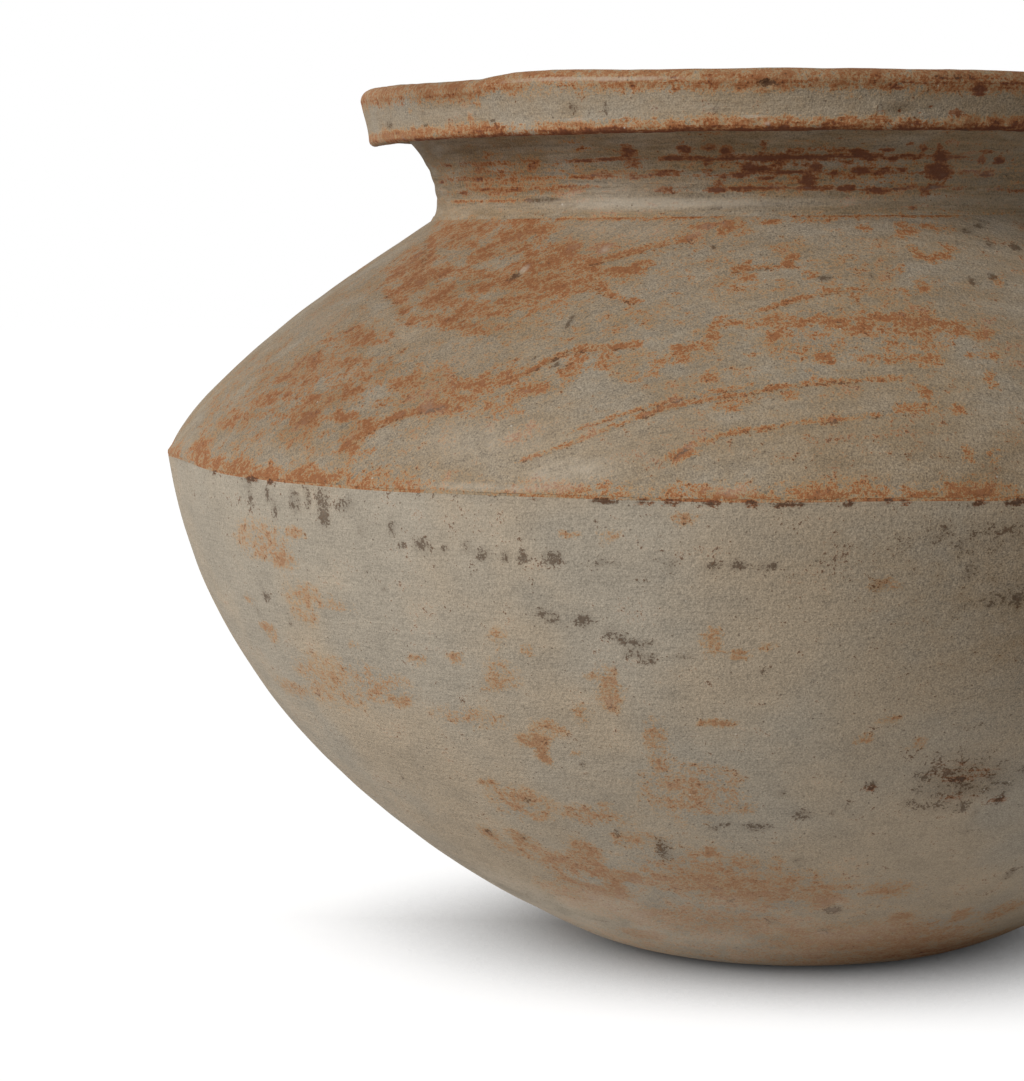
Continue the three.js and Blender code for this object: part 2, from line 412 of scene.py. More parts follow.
class Recipe:
    """The node tree of a material or a world."""

    # How far Blender's noise strays from its middle, for one layer
    NOISE_SPREAD = 0.135

    def __init__(self, owner):
        owner.use_nodes = True
        self.owner = owner
        self.tree = owner.node_tree
        self.tree.nodes.clear()

    def add(self, kind, settings=None, **sockets):
        """Adds a node: its settings first, then its sockets' values or links."""
        node = self.tree.nodes.new("ShaderNode" + kind)
        for name, value in (settings or {}).items():
            setattr(node, name, value)
        for name, value in sockets.items():
            key = int(name[1:]) if name[0] == "_" else name.replace("_", " ")
            value = value.socket if isinstance(value, Measure) else value
            if isinstance(value, bpy.types.NodeSocket):
                self.tree.links.new(value, node.inputs[key])
            else:
                node.inputs[key].default_value = value
        return node

    def maths(self, operation, *values):
        """One Math node."""
        sockets = {f"_{i}": value for i, value in enumerate(values)}
        return Measure(self, self.add("Math", {"operation": operation}, **sockets).outputs[0])

    def place(self):
        """Where a point is on the piece, in millimetres."""
        at = self.add("TexCoord").outputs["Object"]
        grown = self.add("VectorMath", {"operation": "SCALE"}, Vector=at, Scale=1 / MM)
        return grown.outputs["Vector"]

    def split(self, vector):
        """The three numbers of a vector."""
        parts = self.add("SeparateXYZ", Vector=vector)
        return [Measure(self, part) for part in parts.outputs]

    def join(self, x, y, z):
        """A vector of three numbers."""
        return self.add("CombineXYZ", X=x, Y=y, Z=z).outputs[0]

    def stretch(self, vector, x, y, z):
        """A vector with each number multiplied by its own."""
        scaled = self.add("VectorMath", {"operation": "MULTIPLY"}, _0=vector, _1=(x, y, z))
        return scaled.outputs["Vector"]

    def swing(self, at, size, detail=2, rough=0.6):
        """Cloudy noise either side of 0, mostly from -1 to 1, its lumps about size mm."""
        layers = [rough**i for i in range(detail + 1)]
        spread = self.NOISE_SPREAD * math.hypot(*layers) / sum(layers)
        node = self.add(
            "TexNoise",
            {"noise_dimensions": "3D"},
            Vector=at,
            Scale=1 / size,
            Detail=detail,
            Roughness=rough,
        )
        return (Measure(self, node.outputs["Fac"]) - 0.5) * (1 / spread)

    def grit(self, at, spacing):
        """Scattered grains: how far off the nearest is, and a lot from 0 to 1 of its own."""
        node = self.add("TexVoronoi", Vector=at, Scale=1 / spacing)
        far = Measure(self, node.outputs["Distance"]) * spacing
        return far, self.split(node.outputs["Color"])[0]

    def ease(self, value, low, high):
        """0 at low and 1 at high, smooth between; low may be the higher number."""
        node = self.add(
            "MapRange",
            {"interpolation_type": "SMOOTHSTEP"},
            Value=value,
            From_Min=min(low, high),
            From_Max=max(low, high),
            To_Min=float(low > high),
            To_Max=float(low <= high),
        )
        return Measure(self, node.outputs["Result"])

    def stain(self, name):
        """A stain that was dabbed on the wall."""
        settings = {"attribute_type": "GEOMETRY", "attribute_name": name}
        return Measure(self, self.add("Attribute", settings).outputs["Fac"])

    def blend(self, amount, under, over, way="MIX"):
        """One colour over another."""
        settings = {"data_type": "RGBA", "blend_type": way, "clamp_result": False}
        return self.add("Mix", settings, _0=amount, _6=under, _7=over).outputs[2]

    def fire(self, colour, roughness, relief, shine):
        """The finished surface; relief is in millimetres."""
        bump = self.add("Bump", Height=relief, Strength=1.0, Distance=MM)
        surface = self.add(
            "BsdfPrincipled", Base_Color=colour, Roughness=roughness, Normal=bump.outputs[0]
        )
        surface.inputs["Specular IOR Level"].default_value = shine
        self.add("OutputMaterial", Surface=surface.outputs[0])
        return self.owner


# The shoulder was wiped upwards to the right: how far in mm, and up to which azimuth
WIPE_RISE = 95
WIPE_TOP_DEG = 10


def fired_clay(
    name, look, earth=0.0, streak=2.0, comb=0.2, grain=1.0, bite=1.0, scratch=0.015, wiped=False
):
    """Fired clay. earth says how brown the clay is, streak how much longer than high marks are,
    comb how far rust follows the fine lines, grain how sandy the clay looks, bite how sharply
    rust stands out, scratch how deep the fine lines are in mm, and wiped that they climb."""
    r = Recipe(bpy.data.materials.new(name))
    at = r.place()
    x, y, z = r.split(at)
    streaks = r.join(x, y, z * streak)
    if wiped:
        turn = math.radians(90 - WIPE_TOP_DEG)
        round_it = r.maths("SQRT", x * x + y * y)
        z = z - (x * math.cos(turn) - y * math.sin(turn)) / round_it * WIPE_RISE

    # Unevenness of every size, from the fine lines round the jar to its sand
    lines = r.swing(r.join(x * 0.07, y * 0.07, z), 1.1, 2, 0.7)
    clouds = r.swing(at, 48, 2)
    spread = r.swing(streaks, 15, 4)
    ragged = r.swing(r.stretch(streaks, 1, 1, 0.7), 3.4, 4, 0.66)
    fleck = r.swing(at, 0.8, 2, 0.75)
    sand = r.swing(at, 0.36, 1)
    tone = {key: (*getattr(look, key), 1.0) for key in JarColours.__annotations__}

    # Clay body: smoky and clear patches, then light and dark grain
    body = r.blend(r.ease(clouds + spread * 0.2, -1.6, 1.6), tone["smoked"], tone["clay"])
    if earth:
        body = r.blend(r.ease(spread + ragged * 0.25, -6, 6) * earth * 2, body, tone["earth"])
    grains = ragged * 0.022 + fleck * 0.034 + sand * 0.074
    coarse = r.stain("smoke") * 1.3 + grain
    shade = 1 + spread * 0.035 + grains * coarse + lines * comb * 0.12
    body = r.blend(1.0, body, r.join(shade, shade, shade), "MULTIPLY")

    # Orange flame marks
    dabbed = r.stain("rust")
    marked = r.ease(dabbed, 0, 1.0 + 0.2 * bite) * 4.35 + spread * 0.6 - 2.1
    broken = ragged * 1.1 + fleck * 1.1 + sand * 0.8 + lines * comb
    level = marked + broken * (0.36 + 0.24 * bite + r.ease(dabbed, 0.05, 0.5) * 0.35)
    thin = r.ease(level, -1.9, 0.6) * r.ease(dabbed, 0, 0.2)
    body = r.blend(thin * (0.48 + 0.2 * bite), body, tone["bloom"])
    depth = 1 + fleck * 0.12 + ragged * 0.1
    ochre = r.blend(1.0, tone["rust"], r.join(depth, depth, depth), "MULTIPLY")
    core = r.ease(level + broken * 0.25, 0.2, 2.0)
    body = r.blend(core * (0.15 + 0.6 * bite), body, ochre)
    deep = r.ease(level + broken * 0.5, 1.7, 3.9)
    body = r.blend(deep * (0.1 + 0.3 * bite), body, tone["iron"])

    # Red-brown iron slip, caught in dashes along the throwing lines
    iron = r.stain("iron") * 4.5 + lines * 0.8 + ragged * 0.7 + fleck * 0.7 - 2.4
    slip = r.blend(r.ease(iron, -0.2, 3.0), tone["rust"], tone["iron"])
    covers = r.ease(iron, -0.9, 1.3) * r.ease(r.stain("iron"), 0.04, 0.3)
    body = r.blend(covers * 0.9, body, slip)

    # Soot, in grains, and painted shade where the soot stain is laid along the shoulder's wiped
    # grooves
    sooty = r.stain("soot") * 4.5 + ragged * 0.9 + fleck * 1.0 + sand * 0.6 + spread * 0.2 - 2.9
    body = r.blend(r.ease(sooty, -0.2, 1.3) * 0.75, body, tone["soot"])
    body = r.blend(r.ease(r.stain("soot"), 0, 0.7) * 0.13, body, tone["soot"])

    # Pale dust where the clay is rubbed or its slip is thin, and painted highlights where the pale
    # stain is laid for them
    dust_and_highlight = r.stain("pale") * 2.4 + ragged * 0.25 + spread * 0.4 - 1.3
    body = r.blend(r.ease(dust_and_highlight, -0.8, 2.2) * 0.5, body, tone["pale"])

    # Brown haze over everything: smoky haze on the clay, and painted shade where the smoke stain
    # is laid for it
    haze = r.stain("smoke") * (1 + ragged * 0.1 + spread * 0.12)
    body = r.blend(haze, body, tone["smoke"], "MULTIPLY")

    # Grit
    far, lot = r.grit(at, 1.8)
    body = r.blend(r.ease(far, 0.34, 0.14) * r.ease(lot, 0.7, 0.8) * 0.6, body, tone["soot"])
    far, lot = r.grit(at, 5.5)
    body = r.blend(r.ease(far, 0.32, 0.16) * r.ease(lot, 0.8, 0.84) * 0.7, body, tone["pale"])

    relief = r.swing(at, 0.8, 1) * 0.02 + r.swing(at, 3.0, 1) * 0.012 + lines * scratch
    roughness = 0.82 + fleck * 0.05
    return r.fire(body, roughness, relief, 0.3)


def colour(label, note, red, green, blue):
    """A colour property whose default is given as a screen shows it, 0 to 255."""

    def linear(level):
        share = level / 255
        return share / 12.92 if share <= 0.04045 else ((share + 0.055) / 1.055) ** 2.4

    return bpy.props.FloatVectorProperty(
        name=label,
        description=note,
        subtype="COLOR",
        size=3,
        min=0,
        max=1,
        default=(linear(red), linear(green), linear(blue)),
    )


def length(label, note, size):
    """A length property whose default is given in millimetres."""
    return bpy.props.FloatProperty(
        name=label, description=note, default=size * MM, min=0, unit="LENGTH"
    )


class JarColours(bpy.types.PropertyGroup):
    """Colours of the fired clay and of what the fire left on it."""

    smoked: colour("Smoked clay", "Grey clay where the fire was smoky", 167, 156, 139)
    clay: colour("Clay", "Buff clay where the fire was clear", 172, 156, 134)
    earth: colour("Earth", "Brown clay higher up the jar", 137, 117, 90)
    bloom: colour("Bloom", "Thin orange bloom", 179, 142, 99)
    rust: colour("Rust", "Full orange flame mark", 157, 97, 52)
    iron: colour("Iron", "Dark red-brown iron slip", 101, 53, 31)
    # The soot colour also paints the shade along the shoulder's wiped grooves
    soot: colour("Soot", "Dark specks and smudges", 78, 59, 42)
    # The smoke colour also paints shade under the rim, on the shoulder's upper left, in the rim's
    # chip and where the bowl nears the floor
    smoke: colour("Smoke", "What a full smoke haze leaves of the light", 190, 178, 160)
    # The dust colour also paints highlights
    pale: colour("Dust", "Pale dust and rubbed edges", 198, 188, 172)


class JarShape(bpy.types.PropertyGroup):
    """Sizes of what the hand left in the clay."""

    unevenness: length("Unevenness", "How far the walls stray from true", 0.3)
    ring_depth: length("Ring depth", "Depth of the throwing rings on the neck", 0.22)
    keel_lip: length("Keel lip", "How far the shoulder's edge stands out over the bowl", 0.45)
    columns: bpy.props.IntProperty(
        name="Columns", description="Faces round each wall", default=512, min=64, step=16
    )


def put_in_place(piece, node, material):
    """Gives a finished piece its clay and its body, and hides the frame's node that it stands for.
    """
    piece.data.materials.append(material)
    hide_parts(node)
    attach(piece, "root")


# Marks at the front, each an azimuth, a height, half its width, half its height and, where
# they aren't 1 and 0, its strength and tilt; degrees and mm

BOWL_SOOT = [
    (-50.4, 125.5, 1, 3.12), (-47.6, 125.5, 1, 2.08), (-46.9, 122.5, 1, 2.6),
    (-44.4, 125, 1, 2.86), (-43.4, 125, 1, 2.6), (-42.4, 126, 1, 2.86), (-40.9, 123.5, 1.1, 3.9),
    (-39.9, 123.8, 1, 3.9), (-38.2, 124.8, 1.2, 1.69), (-37, 125.3, 1, 2.34),
    (-36.8, 119.5, 0.8, 1.56), (-33.2, 120.8, 0.9, 2.2), (-32.5, 117, 1, 0.8),
    (-30.3, 117, 2.2, 1.5), (-28, 116.8, 0.9, 0.9), (-26, 117.3, 1.3, 1), (-24.6, 116, 2, 1.5),
    (-22.6, 115.6, 1.4, 1.4), (-21, 115.6, 1.6, 1.4), (-18.6, 115.8, 2.4, 1.9),
    (-14.8, 115.4, 1.5, 0.8), (-13.7, 115, 1, 0.7), (-10.8, 116.8, 0.6, 1.6),
    (-9, 114.4, 1.4, 0.9), (-6, 114.6, 1.6, 1), (-4, 115.3, 2.4, 1.1), (-1.8, 114.9, 2, 0.7),
    (-20, 103.2, 2, 1.1, 1.1), (-19.2, 102, 1.6, 1.1, 1.1), (-16.5, 101.6, 2.4, 1.7, 1.1),
    (-14.5, 99, 1.7, 1.1), (-13.5, 97.6, 1.7, 1.2), (-12.4, 96.6, 2.2, 1.3),
    (-11.4, 97, 1.2, 0.8), (-13, 94.6, 1.8, 1), (-11.5, 93.6, 2.2, 1.1), (-8.5, 94.3, 2, 0.7),
    (-4.5, 101, 0.7, 0.5), (-2, 90.9, 0.9, 0.5), (-52.6, 100.3, 1.7, 1.2), (-55.5, 96, 1.5, 1),
    (-50, 94.2, 1, 1), (-35, 105.5, 0.7, 0.8), (-34.8, 92.6, 0.8, 0.7), (-36.8, 111, 0.8, 0.7),
    (13.5, 113.5, 1.5, 1.8, 0.9), (12.3, 95.9, 0.7, 0.6, 1.3), (6.5, 111, 2, 1.4, 0.7),
    (16.5, 109, 6, 4, 0.36), (13, 121, 12, 4, 0.3), (10.5, 121.6, 0.8, 0.5),
    (11.6, 122.4, 1.2, 0.5), (14.4, 121.2, 0.7, 0.5), (12.6, 119.4, 0.6, 0.5),
    (17, 121.6, 0.9, 0.5), (15.6, 106.2, 1.2, 0.7, 0.9), (17.6, 107.6, 1, 0.7, 0.9),
    (13.2, 106, 1.4, 0.9, 0.8), (-45.5, 55.5, 1, 0.8), (-28, 54.4, 1, 0.8),
    (-19.9, 66.6, 0.7, 0.8), (-19, 48, 0.8, 1), (-14.3, 44, 2, 3.4), (-8, 51.2, 1.2, 0.9),
    (-6.5, 52, 1.3, 0.8), (-3.4, 51.6, 3.6, 1), (1.2, 55.4, 2.4, 1.5), (4, 55.5, 0.8, 0.7),
    (5.3, 57.8, 0.8, 1.2), (-0.9, 61, 1, 1), (-4.7, 57, 0.6, 1), (7.7, 63, 1.8, 0.9, 1.3),
    (11.6, 58.5, 1.5, 0.8), (17.3, 56.6, 1.2, 1, 1.2), (21, 58.3, 1.4, 1.4, 1.4),
    (19, 55, 1, 0.8), (14.2, 49, 1.2, 0.6), (19, 49, 1.2, 0.6), (10, 49, 0.7, 0.6),
    (4.5, 48, 0.7, 0.6), (0.8, 42.5, 1.2, 0.6), (-4, 40.4, 0.8, 0.7, 1.2),
    (-8, 28.9, 1, 0.6, 1.2), (6.2, 26.2, 2.6, 1.8, 0.9), (-2.8, 21.5, 1.6, 0.8, 0.9),
    (5.5, 19, 1.5, 0.7), (-37.5, 43, 1.5, 1.2, 0.8), (-32.5, 43, 1.2, 1, 0.8),
    (28.5, 35.5, 1.2, 1.8), (17, 66, 14, 5, 0.5, -12), (16, 61, 11, 3, 0.52), (14, 57, 7, 2, 0.5),
    (-48, 20, 14, 2.5, 0.5, 8), (-15, 63.5, 0.5, 1), (12.5, 65, 3.6, 1.6, 0.62),
    (15.5, 66.5, 3.6, 1.6, 0.62), (19, 65, 3.6, 1.6, 0.62), (22.5, 66, 3.6, 1.6, 0.62),
    (17, 61.5, 3.6, 1.6, 0.62), (21, 62, 3.6, 1.6, 0.62),
]
BOWL_SMOKE = [(17, 64, 11, 5, 0.5)]
# The bowl's flame marks are softer than listed, so they spread and gain a little
BOWL_RUST_WIDER, BOWL_RUST_HIGHER, BOWL_RUST_STRONGER = 1.45, 1.25, 0.04
BOWL_RUST = [
    (-50, 114, 9, 4, 0.55), (-47.8, 110.5, 4, 2, 0.85), (-45, 117, 3, 1.4, 0.7),
    (-46, 102, 5, 3, 0.5), (-42, 101, 5, 1.4, 0.6), (-56.5, 98.5, 3, 1, 0.7),
    (-55, 91, 3, 2, 0.85), (-47, 97, 4, 2, 0.5), (-41.3, 91.5, 1, 0.8, 0.9),
    (-33.5, 89.4, 2, 0.7, 0.9), (-29.3, 91, 1.4, 1, 0.9), (-22, 94, 1.2, 1.4, 0.7),
    (-24.6, 96.5, 1.2, 2, 0.6), (-26, 85, 3, 1, 0.75), (-25, 88, 3, 3, 0.5),
    (-15.4, 85.5, 2, 4, 0.65), (-16, 88.5, 2.4, 0.8, 0.7), (-18.4, 78.5, 1.4, 2, 0.75),
    (-22, 75.5, 3, 2, 0.6), (-42, 82, 10, 4, 0.55), (-48, 80, 10, 5, 0.45),
    (-38.2, 78.5, 2.6, 1.2, 0.95), (-30, 76, 7, 2, 0.5), (-24.2, 71.5, 2.8, 1.5, 1.1),
    (-23.6, 68, 1.3, 2.2, 1.1), (-20, 69, 1.2, 0.8, 0.8), (-11.9, 74.5, 2, 3.6, 0.8),
    (-12, 67, 1.6, 2, 0.6), (-6.2, 98.5, 1.6, 2.8, 0.85), (-4.2, 95, 1.4, 1.2, 0.9),
    (-2, 96.6, 1.8, 0.8, 0.6), (-6.3, 78.6, 2.5, 0.8, 1.25), (8.5, 79.5, 1.8, 0.6, 0.8),
    (6.3, 74.8, 2, 0.8, 1), (11.3, 73.6, 1.4, 0.7, 0.8), (7, 111, 2.4, 1.2, 0.8),
    (-17, 121, 2, 0.8, 0.8), (-14, 121, 1.6, 1, 0.7), (-8, 125.5, 2, 0.8, 0.7),
    (-57, 75, 9, 2, 0.5), (-31.8, 58.5, 1.8, 1, 0.9), (-29, 53.5, 6, 3.6, 0.6),
    (-19, 56, 1.4, 1, 0.8), (-9.5, 61, 8, 6, 0.5), (-4.3, 56.5, 1.2, 1, 0.9),
    (-21, 52, 6, 2, 0.55), (-8.8, 44, 1.4, 1, 0.9), (-38, 42, 2, 2, 0.8),
    (-33, 42.5, 2.4, 2, 0.8), (-36, 38, 5, 2, 0.55), (-30, 36, 6, 3, 0.6), (-25, 40, 3, 3.6, 0.8),
    (-24.5, 35, 4, 2, 0.75), (-24, 31, 1.8, 3.6, 0.9), (-25.6, 28, 3.6, 1.4, 0.95),
    (-30, 30, 5, 1, 0.85, -14), (-21, 34.5, 2.6, 1.4, 1), (-17, 46, 5, 2, 0.5),
    (-9, 37, 12, 5, 0.55), (-5, 40.5, 6, 2, 0.6), (-4, 34, 11, 5, 0.6), (2, 32.5, 7, 3, 0.55),
    (4.2, 30, 2.2, 2.4, 0.95), (13, 33, 4, 2, 0.6), (-22, 22, 3, 1.6, 0.75),
    (-14, 20, 16, 4, 0.5), (1, 18.4, 3, 0.9, 0.8), (17.2, 22.5, 2.2, 1.4, 0.85),
    (27, 22, 2, 2, 0.8), (15, 16, 18, 4, 0.55), (24, 13, 6, 2, 0.8), (-29, 12.6, 4, 1.4, 0.7),
    (-33, 25, 7, 4, 0.5),
]
BOWL_IRON = [
    (21, 58.3, 1.7, 1, 1.1), (7.7, 62.6, 1.5, 0.5, 1), (12.3, 95.9, 0.7, 0.5, 1),
    (6, 111, 1, 0.7, 0.9), (-3.7, 55.2, 0.4, 0.7, 1), (16, 66, 8, 3, 0.42), (17, 60, 6, 2, 0.42),
]
SHOULDER_RUST = [
    (-60, 188, 14, 2.4, 0.8, -6), (-50, 188, 12, 2.4, 0.9), (-42, 187.5, 8, 2.8, 1.05),
    (-37, 187.3, 4, 1.4, 0.8), (-50, 184, 8, 1.4, 0.7, -5), (-43, 181.6, 3.4, 2.4, 1.15),
    (-58, 181, 14, 1.8, 0.55, -8), (-56, 177, 10, 2, 0.7, -10), (-51, 177.5, 8, 2.6, 0.9, -8),
    (-50, 174.6, 7, 1.6, 0.8, -8), (-46, 177.3, 6, 1.2, 0.85), (-41, 176.8, 6, 1, 1.2),
    (-36, 183, 5, 1.6, 0.8), (-34, 181.5, 3, 1.2, 0.8), (-30, 182.6, 4.6, 2, 1),
    (-30, 179, 10, 1.8, 0.95), (-35.5, 177, 4, 1.8, 1), (-31, 175.4, 9, 2, 1.1),
    (-26, 178, 5, 2.2, 0.95), (-24, 175.6, 4, 2.6, 0.95), (-26, 173.4, 7, 1.4, 1),
    (-36, 174.3, 4, 1.4, 0.8), (-24, 183, 3, 1.2, 0.7), (-43, 172.8, 3, 2.4, 1.15),
    (-41, 170, 8, 1.4, 0.95), (-37, 173, 5, 1.2, 0.8), (-36, 169, 7, 2.2, 0.85),
    (-31.5, 169.5, 7, 2.4, 0.7), (-27, 170, 6, 2.6, 0.65), (-40, 166, 10, 1.5, 0.9),
    (-35.5, 164.8, 7, 1, 0.8), (-33, 163.7, 5, 0.8, 0.8), (-50, 163, 6, 1.8, 0.6),
    (-47, 161.8, 8, 1.6, 0.85), (-54, 161.5, 8, 2, 0.5), (-50, 155, 16, 4, 0.42),
    (-44, 154, 9, 3, 0.5), (-56, 151.6, 3, 0.9, 1), (-50, 152, 6, 1.8, 0.5),
    (-55, 147, 8, 1.8, 0.75, 12), (-51, 148.6, 5, 1.2, 0.7, 10), (-59, 142, 4, 2.6, 0.75),
    (-47, 147, 6, 1.8, 0.6), (-46, 143.5, 8, 1.2, 0.85), (-41, 144.4, 4, 1.2, 1),
    (-38, 143, 3, 1, 0.85), (-42, 149.5, 4, 1.8, 0.6), (-37, 152.6, 6, 1, 0.9),
    (-34, 155, 7, 2, 0.45), (-28, 152.2, 9, 1.2, 0.9), (-23, 151.8, 6, 1.4, 0.9),
    (-26, 154.6, 6, 1.8, 0.6), (-30, 148.6, 8, 2.6, 0.6), (-25, 148, 6, 2.2, 0.6),
    (-19.8, 156.5, 3, 3.4, 0.85), (-17, 158, 2.4, 1.8, 0.8), (-38, 138.3, 3, 1.6, 1),
    (-36.4, 137.3, 2, 1.4, 0.8), (-22, 142, 4, 1.8, 0.55, 25), (-8.5, 138.6, 3, 1.2, 1.2, 10),
    (-7.5, 163.8, 1.5, 3.2, 1.15), (-10, 160.6, 3, 0.9, 0.9), (-11, 158, 5, 1.2, 0.65, 8),
    (-7, 155, 2, 1, 0.8), (-13, 155, 5, 1, 0.55, 15), (-1.6, 163, 1.5, 1.3, 0.95),
    (-1, 166.5, 5, 1.5, 1), (-4.6, 166, 3, 0.9, 0.8), (3, 166, 8, 1.8, 0.75), (2, 162, 9, 4, 0.4),
    (8, 166, 10, 2, 0.85), (12, 165.5, 5, 2.6, 1), (15, 164.6, 6, 1.6, 0.95),
    (9, 163, 4, 2, 0.65), (13, 161.6, 4, 1.8, 0.75), (18, 163.5, 4, 0.9, 0.9),
    (2.8, 158.5, 2.2, 1.3, 1.25), (1.8, 155.5, 1.7, 1.2, 1), (9, 158.4, 8, 0.9, 0.8),
    (17, 158.8, 4, 0.8, 0.9), (12, 158, 3, 1.4, 0.8), (9.5, 161, 3, 1.4, 0.7),
    (17, 154, 1.2, 2.2, 0.7), (11, 151.6, 1.7, 1.3, 1.15), (0, 151, 2, 0.9, 0.8),
    (10, 148.2, 5, 1, 0.85), (13.4, 147.8, 1.4, 1.1, 0.95), (-5, 149, 3, 1.8, 0.55),
    (13.5, 138.6, 1.5, 1.8, 1.05), (15.6, 138.3, 2, 1.4, 0.85), (0, 179.6, 2, 1.4, 1.1),
    (2, 176.6, 2, 0.9, 0.9), (-6, 178, 2, 1.1, 1.1), (-7, 175, 2, 0.9, 1), (-5, 176, 2, 0.9, 0.8),
    (-9, 187, 1.8, 1.2, 0.9), (-8.4, 188, 3, 1, 0.8), (-12, 187.8, 3, 0.7, 0.8),
    (-3.5, 188.8, 4, 0.7, 0.9), (3, 189, 5, 0.7, 0.8), (12.5, 177.6, 1.4, 0.9, 1),
    (14, 174, 1.4, 1.3, 1.2), (12, 172.5, 1, 0.8, 0.9), (15, 181.2, 1.4, 1.7, 1.05),
    (16.5, 179.6, 1.6, 0.9, 1), (18, 180.6, 2.2, 1, 1.05), (19.5, 182, 2, 0.8, 0.9),
    (15, 187, 3, 1.8, 1.15), (18, 187.5, 4, 0.9, 1), (14, 185.4, 1.4, 1.3, 1),
    (20, 187, 3, 0.8, 0.8), (23, 175, 1.4, 1.1, 0.85), (-17.6, 178.6, 2.5, 1.2, 1),
    (-20, 177.5, 4, 1.1, 0.9), (-62.5, 134, 5, 2.4, 0.8), (9.5, 187, 2, 1, 0.7),
]
# Wiped streaks: half width, strength, depth, and stops of azimuth and height
SHOULDER_TRAILS = [
    (1.0, 1.15, 0.2, [(-54, 173), (-51, 171.8), (-48, 170.2), (-45.5, 168), (-43, 166)]),
    (0.9, 0.95, 0.15, [(-63, 186), (-60, 184.6), (-57, 183), (-54, 181), (-52, 179)]),
    (0.9, 1.15, 0.15, [(-24, 180), (-20, 182), (-16.5, 184), (-14, 184.8)]),
    (0.7, 1.05, 0.15, [(-25, 153.5), (-23.6, 156), (-22, 158.6), (-20, 160.4), (-15, 161.2)]),
    (0.9, 1.1, 0.15, [(-39, 138), (-37, 142), (-35, 145), (-31, 148)]),
    (0.6, 0.85, 0.2, [(-21, 137), (-18, 140), (-14, 144.5), (-10, 148.4), (-5, 151),
                      (-1, 152.6), (2, 153.6), (9, 154.4)]),
    (0.5, 0.75, 0.15, [(-17, 143.6), (-13, 147.4), (-9, 150.4), (-4, 152.8)]),
    (0.6, 0.8, 0.2, [(-9, 139), (-7.6, 140.6), (-5, 143), (0, 145.2), (4, 146), (9, 147.4)]),
    (0.6, 0.85, 0.1, [(-2.4, 169.4), (1, 171.4), (4, 172.8), (5.6, 173), (6.4, 171.4)]),
    (0.6, 0.95, 0.1, [(-22, 174.6), (-20.4, 172.6), (-18.6, 171.4), (-17, 171)]),
    (0.6, 0.95, 0.1, [(-7, 176.4), (-6, 178), (-3, 178.6), (0, 178.8)]),
]
# Where the orange line under the neck shows, from and to an azimuth
SEAM_LINES = [(-44, -31), (-31, -11), (1, 8.5), (9.5, 12), (13.5, 23)]
SHOULDER_DENTS = [
    (-22, 158.2, 1.6, 1.2, 0.6), (-33.6, 177, 1.6, 1.4, 0.5), (-18.6, 186, 2.4, 2, -0.25),
    (-18.6, 186, 1.4, 1.1, 0.35),
]
SHOULDER_SOOT = [
    (-22.5, 166.4, 0.8, 1.4, 1.5), (-22, 158.4, 0.8, 0.6, 1.4), (-21.4, 157, 0.8, 0.6, 1.4),
    (-20.7, 156.6, 0.8, 0.6, 1.4), (-21, 160, 0.6, 0.5, 1.2), (-24, 158.2, 0.6, 0.5, 1.1),
    (-33.8, 176.6, 1.3, 1, 1.3), (3.5, 175.8, 1.8, 0.6, 1.5), (8.8, 176, 0.8, 0.6, 1.2),
    (20, 175, 0.8, 1.1, 1.3), (22.8, 176, 0.8, 1.1, 1.3), (25.6, 187.4, 1.8, 0.6, 1.1),
    (23.6, 186.4, 1.6, 0.8, 1), (25.2, 183, 1, 1, 1), (21, 183.6, 0.8, 0.6, 1.1),
    (28.6, 182.4, 1.2, 0.8, 1.4), (27, 188.6, 1.4, 0.5, 1), (-9.8, 183, 0.7, 0.6, 1.1),
]
SHOULDER_PALE = [
    (-27, 140, 16, 4, 0.4), (-17, 134.5, 12, 3, 0.7), (-32, 158.5, 8, 3.6, 0.45),
    (-28, 188, 7, 1.8, 0.4), (-20, 187, 6, 2, 0.4), (-24, 182.6, 1, 0.7, 0.8),
    (-33.4, 178, 1.2, 0.9, 1.4), (-4, 132, 10, 1.4, 0.6), (-60, 165, 14, 4, 0.5),
]
